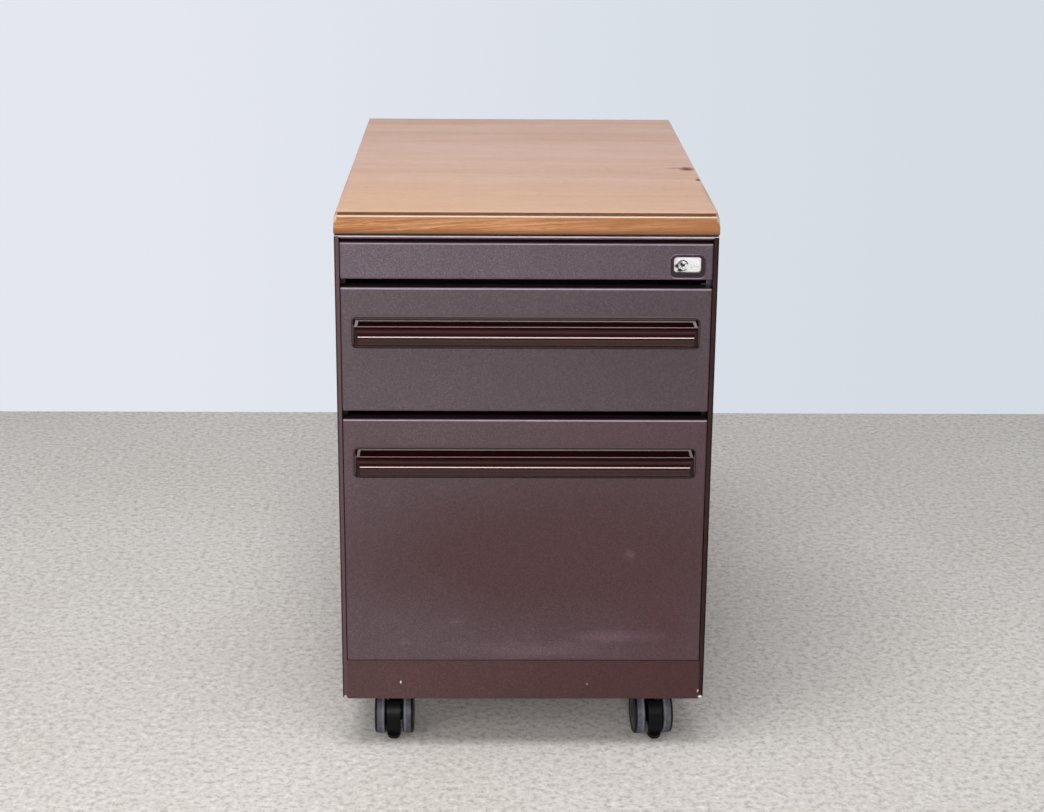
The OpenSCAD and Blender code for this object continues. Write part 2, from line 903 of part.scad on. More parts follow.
module lock_bezel() {
    color(black_plastic) in_case() difference() {
        translate([bezel_x, 0, bezel_z])
            along_y(front_face - bezel_proud, front_face + plate_back + plate_t + 1.5)
                round_rect(bezel_w, bezel_h, 5.8);
        translate([plate_x, 0, plate_z]) along_y(front_face - 1, front_face + plate_back + plate_t)
            round_rect(plate_w + 0.2, plate_h + 0.2, 3.4);
        translate([lock_x, 0, lock_z]) along_y(-10, 20) circle(d = housing_d - 2);
    }
}

module lock_plate() {
    color(bright) in_case() difference() {
        translate([plate_x, 0, plate_z]) along_y(front_face + plate_back, front_face + plate_back + plate_t)
            round_rect(plate_w, plate_h, 3.3);
        translate([lock_x, 0, lock_z]) along_y(-10, 20) circle(d = plug_d + 2 * run);
    }
}

// Cylinder behind the plate, with the flats that keep it from turning
module lock_housing() {
    front = front_face + plate_back + plate_t;
    color(zinc) in_case() translate([lock_x, 0, lock_z]) difference() {
        union() {
            along_y(front, housing_end) circle(d = housing_d - 2.4);
            along_y(front_face + plate_back + plate_t + 1.5, front + 4) intersection() {
                circle(d = housing_d + 4);
                square([housing_d + 6, 14], center = true);
            }
        }
        along_y(-20, housing_end + 1) circle(d = plug_d + 2 * run);
    }
}

bezel_proud = 0.6;
plug_front = front_face + plate_back - 1;
key_r = 1.4;
key_hinge_y = front_face - bezel_proud - 0.5 - key_r;
key_pin_d = 1.6;
eye_r = 1.6;
eye_t = 1.6;
eye_z = 2.6;

// Turning plug with its crank pin, the key blade in it and the eyes of the key hinge
module lock_plug() {
    color(bright) in_case() translate([lock_x, 0, lock_z]) {
        difference() {
            union() {
                along_y(plug_front, housing_end + 0.8) circle(d = plug_d);
                along_y(housing_end + 0.5, housing_end + 2.5) circle(r = crank_r + crank_pin / 2 + 0.6);
                rotate([0, -135, 0]) translate([crank_r, 0, 0])
                    along_y(housing_end + 2, bolt_y + bolt_t + 0.5) circle(d = crank_pin);
                for (s = [-1, 1])
                    translate([0, 0, s * eye_z - eye_t / 2]) linear_extrude(eye_t) key_eye();
            }
            translate([0, key_hinge_y, -lock_in / 4]) cylinder(d = key_pin_d + 2 * run, h = lock_in / 2);
        }
    }
}

module key_eye() {
    translate([0, key_hinge_y]) circle(eye_r);
    translate([-eye_r, key_hinge_y]) square([2 * eye_r, plug_front - key_hinge_y + 0.5]);
}

// Folding bow of the key, with the pin it turns on
module key_bow() {
    lug = eye_z - eye_t / 2 - 0.1;
    w = 2.4;
    start = 2.6;
    neck = key_l - 6;
    y = key_hinge_y;
    outline = [[start, -w], [neck, -w], [key_l, -0.5], [key_l, 0.5], [neck, w], [start, w]];
    color(bright) in_case() translate([lock_x, 0, lock_z]) {
        translate([0, y, -eye_z - eye_t / 2]) cylinder(d = key_pin_d, h = 2 * eye_z + eye_t);
        translate([0, 0, -lug]) linear_extrude(2 * lug) {
            translate([0, y]) circle(key_r);
            translate([0, y - key_r]) square([start + 1, 2 * key_r]);
        }
        along_y(y - key_r, y + key_r) difference() {
            polygon(outline);
            translate([neck - 2.5, 0]) circle(d = 2.6);
        }
    }
}

// Bolt that the crank pin drives to the right; its end lifts the gang bar
module lock_bolt() {
    slot_w = crank_pin + 0.8;
    pin_x = lock_x - crank_r * cos(45);
    left = pin_x - 8;
    head_w = 16;
    head_top = lock_z + crank_r + 4.5;
    low = lock_z - bolt_half;
    high = lock_z + bolt_half;
    profile = [
        [left, low], [bolt_tip, low], [bolt_tip, high - wedge], [bolt_tip - wedge, high],
        [left + head_w, high], [left + head_w, head_top], [left, head_top]
    ];
    color(zinc) in_case() along_y(bolt_y, bolt_y + bolt_t) difference() {
        polygon(profile);
        translate([pin_x - slot_w / 2, lock_z]) square([slot_w, crank_r + 2.4]);
    }
}

// --------------------------------------------------------------- gang bar

module gang_bar() {
    color(zinc) in_case() block([bar_x, bar_y, bar_low], [bar_x + bar_t, bar_y + bar_w, bar_top]);
}

// Hooks on the gang bar: one per drawer, and the wedge that the bolt lifts
module gang_hooks() {
    drive_in = bolt_tip - wedge;
    slope = bolt_tip + lock_z + bolt_half - wedge + 0.45;
    color(zinc) in_case() {
        for (z = [upper_catch_z, file_catch_z])
            block([hook_in, hook_y, z - hook_h - 1.5], [bar_x, hook_y + hook_t, z - 1.5]);
        block(
            [tray_hook_in, hook_y, tray_hook_z],
            [bar_x, hook_y + hook_t, tray_hook_z + tray_hook_foot]
        );
        block([runner_reach + clear, hook_y, tray_hook_z], [bar_x, hook_y + hook_t, tray_z - 1.5]);
        along_y(bolt_y, bolt_y + bolt_t) polygon([
            [bar_x, slope - bar_x], [bar_x, bar_top], [drive_in, bar_top], [drive_in, slope - drive_in]
        ]);
    }
}

module bar_guides() {
    x = bar_x - clear - 1;
    h = 12;
    color(dark_paint) in_case()
        for (z = [bar_low + 15, (file_catch_z + upper_catch_z) / 2, upper_catch_z + 20])
            difference() {
                block([x, lip_d + 0.2, z], [skin_in, bar_y + bar_w + 1.8, z + h]);
                block([bar_x - clear, bar_y - clear, z - 1], [skin_in + 1, bar_y + bar_w + clear, z + h + 1]);
            }
}

// ---------------------------------------------------------------- casters

// Moves a caster, drawn with its swivel axis at the origin and its axle in front
module caster_place(x, y, turn) {
    in_case() translate([x, y, 0]) rotate([0, 0, turn]) children();
}

front_swivel_y = swivel_front;
back_swivel_y = case_d - swivel_back;
swivel_x = half_w - swivel_side;

module caster_plate() {
    w = 38;
    l = 58;
    difference() {
        union() {
            translate([-w / 2, -l / 2, plate_low]) cube([w, l, pan_z - plate_low]);
            translate([0, 0, neck_low + 3]) cylinder(d = stem_d, h = plate_low - neck_low - 2);
            translate([0, 0, plate_low - 6]) cylinder(d1 = stem_d + 1, d2 = stem_d + 8, h = 6.5);
        }
        for (sx = [-1, 1], sy = [-1, 1])
            translate([sx * (w / 2 - 6), sy * (l / 2 - 6), plate_low - 1]) cylinder(d = 5, h = 5);
    }
}

module caster_plates() {
    color(zinc) for (x = [-swivel_x, swivel_x], y = [front_swivel_y, back_swivel_y])
        caster_place(x, y, 0) caster_plate();
}

// Fork between the wheels: swivel socket behind, two cheeks round the axle, and the axle
module fork() {
    socket_r = fork_half;
    color(black_plastic) {
        difference() {
            union() {
                translate([0, 0, neck_low]) cylinder(r = socket_r - 0.2, h = neck_top - neck_low);
                translate([0, 0, neck_low]) cylinder(d = stem_d + 3, h = sleeve_top - neck_low);
                for (s = [-1, 1])
                    along_x(s > 0 ? fork_half - cheek_t : -fork_half, s > 0 ? fork_half : -fork_half + cheek_t) {
                        translate([-trail, axle_z]) circle(8.5);
                        translate([-trail, axle_z - 6]) square([trail, 12]);
                        translate([-trail / 2, neck_low + 3]) square([trail / 2, axle_z - neck_low]);
                    }
            }
            translate([0, 0, neck_low + 3 - clear]) cylinder(d = stem_d + 2 * run, h = sleeve_top);
            along_x(-wheel_out, wheel_out) translate([-trail, axle_z]) circle(d = axle_d + 2 * run);
            // room for the brake hub between the cheeks
            along_x(-hub_half - clear, hub_half + clear) translate([-trail, axle_z]) circle(9.5);
        }
    }
    color(zinc) along_x(-axle_half, axle_half) translate([-trail, axle_z]) circle(d = axle_d);
}

// Wheel revolved about its axle: tread with round shoulders, dished outer face
module wheel(side) {
    r = wheel_d / 2;
    shoulder = 2.4;
    dish_r = r - 5.5;
    w0 = wheel_in;
    w1 = wheel_out;
    bore = axle_d / 2 + run;
    color(grey_rubber) translate([0, -trail, axle_z]) rotate([0, side > 0 ? 90 : -90, 0])
        rotate_extrude($fn = 96) difference() {
            union() {
                translate([0, w0]) square([r - shoulder, w1 - w0]);
                translate([0, w0 + shoulder]) square([r, w1 - w0 - 2 * shoulder]);
                translate([r - shoulder, w0 + shoulder]) circle(shoulder);
                translate([r - shoulder, w1 - shoulder]) circle(shoulder);
            }
            translate([0, w0 - 1]) square([bore, axle_half + clear - w0 + 1]);
            // dish around the hub cap, outside
            translate([8, w1 - 1.6]) square([dish_r - 8, 2]);
            // hollow around the hub, inside
            translate([bore + 3.5, w0 - 1]) square([dish_r - 1 - bore - 3.5, 6]);
            translate([-50, -1]) square([50, 60]);
        }
}

// Side view of the brake pedal's arm, as [y, z] about the axle
module brake_arm() {
    circle(8);
    intersection() {
        circle(tongue_out - 1);
        polygon([[0, 5], [-40, 22], [-40, -20], [0, -5]]);
    }
}

// Side view of the curved tongue in front of the wheels, with its turned-out tip
module brake_tongue() {
    intersection() {
        difference() {
            circle(tongue_out);
            circle(tongue_in);
        }
        polygon([[0, 0], [-30, 30], [-60, 30], [-60, -60 * tan(tongue_droop)]]);
    }
    rotate(tongue_droop) translate([-tongue_out - tip_reach, -tip_below])
        square([tongue_out + tip_reach - tongue_in, 5]);
}

// Front view of the tongue's round lower end, as [x, z]
module tongue_face() {
    r = 6;
    low = axle_z - (tongue_out + tip_reach) * sin(tongue_droop) - tip_below * cos(tongue_droop) - 0.9;
    half = tongue_half + 1.3;
    translate([-half, low + r]) square([2 * half, 60]);
    translate([r - half, low]) square([2 * (half - r), 60]);
    for (s = [-1, 1])
        translate([s * (half - r), low + r]) circle(r);
}

// Outline of the tongue's round tip, seen square on its upper face, as [x, y]
module tip_outline() {
    r = 7;
    reach = tongue_out + tip_reach;
    translate([-tongue_half, r - reach]) square([2 * tongue_half, reach + 60]);
    translate([r - tongue_half, -reach]) square([2 * (tongue_half - r), r + 1]);
    for (s = [-1, 1])
        translate([s * (tongue_half - r), r - reach]) circle(r);
}

// Brake pedal: hub on the axle, arm, and tongue
module brake() {
    color(black_plastic) difference() {
        union() {
            along_x(-hub_half, hub_half) translate([-trail, axle_z]) brake_arm();
            intersection() {
                along_x(-tongue_half, tongue_half) translate([-trail, axle_z]) brake_tongue();
                along_y(-trail - 45, -trail) tongue_face();
                translate([0, -trail, axle_z]) rotate([tongue_droop, 0, 0])
                    translate([0, 0, -60]) linear_extrude(120) tip_outline();
            }
        }
        along_x(-wheel_out, wheel_out) translate([-trail, axle_z]) circle(d = axle_d + 2 * run);
    }
}

module fl_fork() { caster_place(-swivel_x, front_swivel_y, 0) fork(); }
module fl_wheel_left() { caster_place(-swivel_x, front_swivel_y, 0) wheel(-1); }
module fl_wheel_right() { caster_place(-swivel_x, front_swivel_y, 0) wheel(1); }
module fl_brake() { caster_place(-swivel_x, front_swivel_y, 0) brake(); }

module fr_fork() { caster_place(swivel_x, front_swivel_y, caster_turn) fork(); }
module fr_wheel_left() { caster_place(swivel_x, front_swivel_y, caster_turn) wheel(-1); }
module fr_wheel_right() { caster_place(swivel_x, front_swivel_y, caster_turn) wheel(1); }
module fr_brake() { caster_place(swivel_x, front_swivel_y, caster_turn) brake(); }

module rl_fork() { caster_place(-swivel_x, back_swivel_y, 0) fork(); }
module rl_wheel_left() { caster_place(-swivel_x, back_swivel_y, 0) wheel(-1); }
module rl_wheel_right() { caster_place(-swivel_x, back_swivel_y, 0) wheel(1); }

module rr_fork() { caster_place(swivel_x, back_swivel_y, 0) fork(); }
module rr_wheel_left() { caster_place(swivel_x, back_swivel_y, 0) wheel(-1); }
module rr_wheel_right() { caster_place(swivel_x, back_swivel_y, 0) wheel(1); }

// ------------------------------------------------------------------ nodes

side_left();
side_right();
back_panel();
base_pan();
plinth();
top_pan();
top_rail();
uprights();
top_board();
top_lipping();
top_screws();
tray_front();
tray_body();
tray_runners();
tray_glides();
tray_rails();
pen_insert();
lock_bezel();
lock_plate();
lock_housing();
lock_plug();
key_bow();
lock_bolt();
gang_bar();
gang_hooks();
bar_guides();
upper_front();
upper_body();
upper_pull();
upper_catch();
upper_slide_case();
upper_slide_mid();
upper_slide_inner();
upper_case_cages();
upper_inner_cages();
file_front();
file_body();
file_pull();
file_catch();
file_slide_case();
file_slide_mid();
file_slide_inner();
file_case_cages();
file_inner_cages();
file_rails();
caster_plates();
fl_fork();
fl_wheel_left();
fl_wheel_right();
fl_brake();
fr_fork();
fr_wheel_left();
fr_wheel_right();
fr_brake();
rl_fork();
rl_wheel_left();
rl_wheel_right();
rr_fork();
rr_wheel_left();
rr_wheel_right();
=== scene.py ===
"""Looks of the drawer pedestal: materials, fine pieces, studio and camera.

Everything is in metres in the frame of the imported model: X to the right seen from the front,
Y from the front to the back, Z up, the floor at Z = 0.
"""

import math

import bmesh
import bpy
from mathutils import Matrix, Vector


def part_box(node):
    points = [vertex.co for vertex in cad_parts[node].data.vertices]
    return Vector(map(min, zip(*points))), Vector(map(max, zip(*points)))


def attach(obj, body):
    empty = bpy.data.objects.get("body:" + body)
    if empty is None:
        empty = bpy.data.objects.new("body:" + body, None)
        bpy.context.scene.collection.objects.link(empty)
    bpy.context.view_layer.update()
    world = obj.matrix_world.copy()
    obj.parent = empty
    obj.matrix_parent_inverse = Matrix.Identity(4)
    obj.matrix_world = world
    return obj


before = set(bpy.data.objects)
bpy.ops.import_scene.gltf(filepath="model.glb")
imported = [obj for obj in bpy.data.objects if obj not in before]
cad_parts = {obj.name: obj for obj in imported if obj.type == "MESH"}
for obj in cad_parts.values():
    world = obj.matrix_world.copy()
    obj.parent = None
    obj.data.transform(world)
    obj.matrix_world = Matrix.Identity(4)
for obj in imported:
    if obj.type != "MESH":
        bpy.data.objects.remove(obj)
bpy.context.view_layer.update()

MM = 0.001

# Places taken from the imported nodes
FACE_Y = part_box("file_front")[0].y
CASE_FRONT_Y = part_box("plinth")[0].y
CASE_BACK_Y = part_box("side_left")[1].y
HALF_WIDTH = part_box("side_right")[1].x
TOP_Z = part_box("top_board")[1].z
CASE_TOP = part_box("top_pan")[1].z
PLATE_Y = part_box("lock_plate")[0].y
BEZEL_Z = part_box("lock_bezel")[0].z

# The lock plug's axis, as in part.scad
LOCK_X, LOCK_Z = 0.163, 0.5546


# ------------------------------------------------------------- materials


class Recipe:
    """A node material while it is being put together."""

    def __init__(self, name, values=None):
        self.material = bpy.data.materials.new(name)
        self.material.use_nodes = True
        self.tree = self.material.node_tree
        self.shader = self.tree.nodes["Principled BSDF"]
        self.feed(self.shader, {"Specular IOR Level": 0.5} | (values or {}))
        self.place = self.node("ShaderNodeTexCoord").outputs["Object"]

    def feed(self, node, inputs):
        """Sets or links the named inputs of a node."""
        for name, value in inputs.items():
            socket = node.inputs[name]
            if isinstance(value, bpy.types.NodeSocket):
                self.tree.links.new(value, socket)
            else:
                socket.default_value = value

    def node(self, kind, inputs=None, **settings):
        """Adds a node, with its settings and named inputs."""
        made = self.tree.nodes.new(kind)
        for name, value in settings.items():
            setattr(made, name, value)
        self.feed(made, inputs or {})
        return made

    def stretched(self, scale, tilt=0.0):
        """Object coordinates turned about Y and then scaled by a different amount along each axis."""
        place = self.place
        if tilt:
            turn = (0, math.radians(tilt), 0)
            place = self.node("ShaderNodeMapping", {"Vector": place, "Rotation": turn}).outputs["Vector"]
        return self.node("ShaderNodeMapping", {"Vector": place, "Scale": scale}).outputs["Vector"]

    def noise(self, scale, detail, rough, warp=0.0, place=None):
        """Noise from 0 to 1, in object coordinates if no other place is given."""
        return self.node(
            "ShaderNodeTexNoise",
            {
                "Vector": place or self.place,
                "Scale": scale,
                "Detail": detail,
                "Roughness": rough,
                "Distortion": warp,
            },
        ).outputs["Fac"]

    def levels(self, value, low, high, out_low=0.0, out_high=1.0):
        """Maps low..high to out_low..out_high smoothly, and holds it there."""
        return self.node(
            "ShaderNodeMapRange",
            {
                "Value": value,
                "From Min": low,
                "From Max": high,
                "To Min": out_low,
                "To Max": out_high,
            },
            interpolation_type="SMOOTHSTEP",
        ).outputs["Result"]

    def feed_at(self, node, index, value):
        """Sets or links one numbered input of a node."""
        if isinstance(value, bpy.types.NodeSocket):
            self.tree.links.new(value, node.inputs[index])
        else:
            node.inputs[index].default_value = value

    def math(self, operation, a, b=0.0):
        """Arithmetic with two numbers."""
        made = self.node("ShaderNodeMath", operation=operation)
        self.feed_at(made, 0, a)
        self.feed_at(made, 1, b)
        return made.outputs[0]

    def vector(self, operation, *values):
        """Vector arithmetic; a length or a dot product gives a number."""
        made = self.node("ShaderNodeVectorMath", operation=operation)
        for index, value in enumerate(values):
            self.feed_at(made, index, value)
        return made.outputs["Value" if operation in ("LENGTH", "DOT_PRODUCT") else "Vector"]

    def mix(self, factor, a, b, mode="MIX"):
        """Mixes two colours."""
        made = self.node("ShaderNodeMix", data_type="RGBA", blend_type=mode, clamp_factor=True)
        self.feed_at(made, 0, factor)
        self.feed_at(made, 6, a)
        self.feed_at(made, 7, b)
        return made.outputs[2]

    def axis(self, name):
        """One of the object coordinates."""
        return self.node("ShaderNodeSeparateXYZ", {"Vector": self.place}).outputs[name]

    def near(self, point, reach, squash=(1, 1, 1), ragged=0.0):
        """A soft mask, 1 at a point and 0 beyond its reach; squash over 1 narrows it along that axis."""
        offset = self.vector("SUBTRACT", self.place, point)
        distance = self.vector("LENGTH", self.vector("MULTIPLY", offset, squash))
        if ragged:
            rough_edge = self.math("MULTIPLY", self.noise(3.0 / reach, 4, 0.6), ragged * reach)
            distance = self.math("ADD", distance, rough_edge)
        return self.levels(distance, reach, reach * 0.35)

    def band(self, name, low, high, soft):
        """1 between two places along an axis, fading over a soft border."""
        along = self.axis(name)
        return self.math(
            "MULTIPLY",
            self.levels(along, low - soft, low),
            self.levels(along, high, high + soft, 1, 0),
        )

    def bump(self, height, depth, normal=None):
        """The normal of a relief of a given depth, on top of another normal."""
        inputs = {"Height": height, "Distance": depth, "Strength": 1.0}
        if normal is not None:
            inputs["Normal"] = normal
        return self.node("ShaderNodeBump", inputs).outputs["Normal"]

    def rounded(self, radius, normal=None):
        """The normal with sharp edges softened to a radius."""
        inputs = {"Radius": radius}
        if normal is not None:
            inputs["Normal"] = normal
        return self.node("ShaderNodeBevel", inputs, samples=4).outputs["Normal"]

    def edge_wear(self, width):
        """1 along sharp edges, from the angle between the true and the rounded normal."""
        true = self.node("ShaderNodeNewGeometry").outputs["Normal"]
        return self.levels(self.vector("DOT_PRODUCT", self.rounded(width), true), 0.995, 0.86)

    def finish(self, colour, roughness, normal):
        """Joins the results to the shader."""
        self.feed(self.shader, {"Base Color": colour, "Roughness": roughness, "Normal": normal})
        return self.material


def rgb(red, green, blue):
    """A linear colour from 0-255 screen values."""
    def linear(v):
        v /= 255
        return v / 12.92 if v <= 0.04045 else ((v + 0.055) / 1.055) ** 2.4

    return (linear(red), linear(green), linear(blue), 1.0)


def scaled(colour, factor, lift=0.0):
    """The same hue, lighter or darker."""
    return tuple(c * factor + lift for c in colour[:3]) + (1,)


SMALL_MARK = 4 * MM  # the widest reach of a chip; wider marks are smudges and painted shade


def add_marks(r, shade, marks):
    """Blends spots into a colour; marks are (point, reach, colour, strength, squash, ragged)."""
    for point, reach, tint, strength, squash, ragged in marks:
        mask = r.math("MULTIPLY", r.near(point, reach, squash, ragged), strength)
        shade = r.mix(mask, shade, tint)
    return shade


def coated_steel(name, colour, marks=(), gloss=0.36, lines=(), painted_shade_right=None, shine=0.5):
    """Fine-textured powder coat: mottling, smudges and painted shade, grain, edges lightened by wear,
    lines of painted highlight and shade, chips, and painted shade towards the right if a colour is given
    for it.

    Lines are (axis, low, high, soft, back, colour, strength); none is drawn behind Y = back.
    """
    r = Recipe(name, {"Specular IOR Level": shine})
    shade = colour
    # Painted shade: darker towards the right, away from the light on the left
    if painted_shade_right:
        shade = r.mix(r.levels(r.axis("X"), -HALF_WIDTH, HALF_WIDTH), colour, painted_shade_right)
    mottle = r.noise(11, 4, 0.6)
    blotch = r.noise(60, 4, 0.65)
    speckle = r.noise(820, 3, 0.75)
    shade = r.mix(r.levels(mottle, 0.3, 0.7, 0, 0.5), shade, (0.88, 0.86, 0.87, 1), "MULTIPLY")
    shade = r.mix(r.levels(blotch, 0.35, 0.7, 0, 0.3), shade, (1.2, 1.2, 1.2, 1), "MULTIPLY")
    shade = add_marks(r, shade, [mark for mark in marks if mark[1] > SMALL_MARK])
    shade = r.mix(r.levels(speckle, 0.5, 0.7, 0, 0.75), shade, (2.1, 2.1, 2.15, 1), "MULTIPLY")
    shade = r.mix(r.levels(speckle, 0.3, 0.5, 0.75, 0), shade, (0.45, 0.45, 0.45, 1), "MULTIPLY")
    wear_and_highlight = r.levels(r.noise(70, 4, 0.7), 0.35, 0.7, 0.05, 0.4)
    shade = r.mix(r.math("MULTIPLY", r.edge_wear(0.7 * MM), wear_and_highlight), shade, scaled(colour, 1.8, 0.03))
    # Lines of painted highlight and painted shade, broken by noise
    for axis, low, high, soft, back, tint, strength in lines:
        line = r.band(axis, low, high, soft)
        line = r.math("MULTIPLY", line, r.levels(r.axis("Y"), back, back + 0.6 * MM, 1, 0))
        broken = r.levels(r.noise(26, 5, 0.7), 0.25, 0.65, strength * 0.72, strength)
        shade = r.mix(r.math("MULTIPLY", line, broken), shade, tint)
    shade = add_marks(r, shade, [mark for mark in marks if mark[1] <= SMALL_MARK])
    rough = r.levels(r.noise(24, 5, 0.65), 0.3, 0.7, gloss - 0.05, gloss + 0.07)
    peel = r.bump(r.noise(420, 2, 0.5), 0.02 * MM)
    grain = r.bump(speckle, 0.05 * MM, peel)
    return r.finish(shade, rough, r.rounded(0.35 * MM, grain))


def veneer(name, light, dark, pore, painted_light_tint, marks=()):
    """Straight-grained veneer along X: broad bands, fine streaks, short open pores, painted light at the
    front left, painted shade along the side edges.
    """
    r = Recipe(name, {"Specular IOR Level": 0.3})
    bands = r.noise(1, 4, 0.6, 0.5, r.stretched((1.6, 17, 17)))
    streaks = r.noise(1, 5, 0.7, 0.3, r.stretched((7, 330, 330)))
    hairs = r.noise(1, 3, 0.7, 0.1, r.stretched((38, 1150, 1150)))
    pores = r.noise(1, 2, 0.5, 0.0, r.stretched((95, 1500, 1500)))
    shade = r.mix(r.levels(bands, 0.32, 0.68), light, dark)
    # Painted light: a warmer tone at the front left, fading towards the right and the back
    across = r.levels(r.axis("X"), -HALF_WIDTH, HALF_WIDTH * 0.6, 1, 0.55)
    along = r.levels(r.axis("Y"), CASE_FRONT_Y - 0.01, CASE_FRONT_Y + 0.34, 1, 0)
    shade = r.mix(r.math("MULTIPLY", across, along), shade, painted_light_tint)
    shade = r.mix(r.levels(streaks, 0.42, 0.68, 0, 0.5), shade, dark)
    shade = r.mix(r.levels(hairs, 0.5, 0.7, 0, 0.42), shade, scaled(dark, 0.72))
    shade = r.mix(r.levels(hairs, 0.46, 0.3, 0, 0.35), shade, scaled(light, 1.12))
    open_pore = r.levels(pores, 0.64, 0.72)
    shade = r.mix(r.math("MULTIPLY", open_pore, 0.5), shade, pore)
    shade = add_marks(r, shade, marks)
    # Painted shade along both side edges, stronger on the right
    edge_shade_x = HALF_WIDTH - 2.0 * MM
    shade = r.mix(r.levels(r.axis("X"), edge_shade_x, edge_shade_x + 0.3 * MM, 0, 0.85), shade, pore)
    shade = r.mix(r.levels(r.axis("X"), -edge_shade_x, -edge_shade_x - 0.3 * MM, 0, 0.5), shade, pore)
    rough = r.levels(r.noise(16, 5, 0.6), 0.3, 0.7, 0.52, 0.62)
    normal = r.bump(open_pore, -0.05 * MM, r.bump(streaks, 0.03 * MM))
    return r.finish(shade, rough, r.rounded(0.5 * MM, normal))


def solid_wood(name, light, dark, pore, riser, lit, worn):
    """Lipping: slanting grain, a darker riser, a painted highlight on the ledge, painted shade on the
    under edge and towards the right, worn corners.
    """
    r = Recipe(name, {"Coat Weight": 0.3, "Coat Roughness": 0.18})
    low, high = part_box("top_lipping")
    ledge = high.z - 3.5 * MM
    riser_y = low.y + 5 * MM
    bands = r.noise(1, 5, 0.62, 1.3, r.stretched((4.2, 120, 120), 3.0))
    streaks = r.noise(1, 4, 0.7, 0.5, r.stretched((16, 560, 560), 4.0))
    pores = r.noise(1, 2, 0.6, 0.0, r.stretched((70, 1500, 1500), 3.0))
    shade = r.mix(r.levels(bands, 0.3, 0.68), light, dark)
    shade = r.mix(r.levels(streaks, 0.42, 0.62, 0, 0.75), shade, scaled(dark, 0.8))
    shade = r.mix(r.levels(streaks, 0.42, 0.3, 0, 0.5), shade, scaled(light, 1.15))
    shade = r.mix(r.levels(pores, 0.58, 0.7, 0, 0.7), shade, pore)
    # Painted shade: darker towards the right
    shade = r.mix(r.levels(r.axis("X"), -0.02, HALF_WIDTH * 0.8, 0, 0.6), shade, scaled(dark, 0.85))
    # Painted shade: darker towards the under edge, darkest over its lowest 2.6 mm
    under = r.levels(r.axis("Z"), low.z + 8 * MM, low.z + 2.5 * MM, 0, 0.9)
    shade = r.mix(under, shade, scaled(dark, 0.5))
    shade = r.mix(r.levels(r.axis("Z"), low.z + 2.6 * MM, low.z + 1 * MM), shade, rgb(56, 24, 8))
    face_top = r.band("Z", ledge - 2.2 * MM, ledge - 0.8 * MM, 0.6 * MM)
    shade = r.mix(r.math("MULTIPLY", face_top, 0.45), shade, scaled(dark, 0.8))
    flat = r.levels(r.axis("Z"), high.z - 0.5 * MM, high.z - 0.2 * MM)
    flat_tone = r.mix(r.levels(streaks, 0.4, 0.7), scaled(light, 1.02), scaled(light, 0.9))
    shade = r.mix(flat, shade, flat_tone)
    # Painted highlight along the ledge in front of the riser
    in_front = r.levels(r.axis("Y"), riser_y - 0.5 * MM, riser_y - 0.2 * MM, 1, 0)
    wear_and_highlight = r.math("MULTIPLY", r.band("Z", ledge - 0.3 * MM, ledge + 0.3 * MM, 0.2 * MM), in_front)
    shade = r.mix(r.math("MULTIPLY", wear_and_highlight, 0.9), shade, lit)
    at_riser = r.math(
        "MULTIPLY",
        r.band("Y", riser_y - 0.15 * MM, riser_y + 0.8 * MM, 0.15 * MM),
        r.band("Z", ledge + 0.1 * MM, high.z + 0.3 * MM, 0.2 * MM),
    )
    shade = r.mix(at_riser, shade, r.mix(r.levels(streaks, 0.35, 0.65), riser, scaled(riser, 0.6)))
    for side in (-1, 1):
        corner = (side * (HALF_WIDTH - 0.5 * MM), low.y + 4 * MM, high.z - 4.5 * MM)
        shade = r.mix(r.near(corner, 8.5 * MM, (1.6, 0.9, 0.9), 0.35), shade, worn)
    shade = r.mix(r.math("MULTIPLY", r.edge_wear(0.8 * MM), 0.3), shade, worn)
    rough = r.levels(r.noise(40, 4, 0.6), 0.3, 0.7, 0.28, 0.4)
    normal = r.bump(streaks, 0.05 * MM)
    return r.finish(shade, rough, r.rounded(0.5 * MM, normal))


def moulded_plastic(name, colour, low_gloss, high_gloss, grain, depth, values=None):
    """Injection-moulded plastic: even colour, faint flow marks, fine grain, a little dust."""
    r = Recipe(name, values)
    flow = r.noise(14, 4, 0.6)
    shade = r.mix(r.levels(flow, 0.35, 0.75), colour, scaled(colour, 1.35, 0.002))
    dust = r.noise(260, 4, 0.75)
    shade = r.mix(r.levels(dust, 0.6, 0.85, 0, 0.14), shade, scaled(colour, 1.5, 0.02))
    rough = r.levels(r.noise(30, 5, 0.7), 0.3, 0.75, low_gloss, high_gloss)
    normal = r.bump(r.noise(grain, 2, 0.6), depth)
    return r.finish(shade, rough, r.rounded(0.3 * MM, normal))


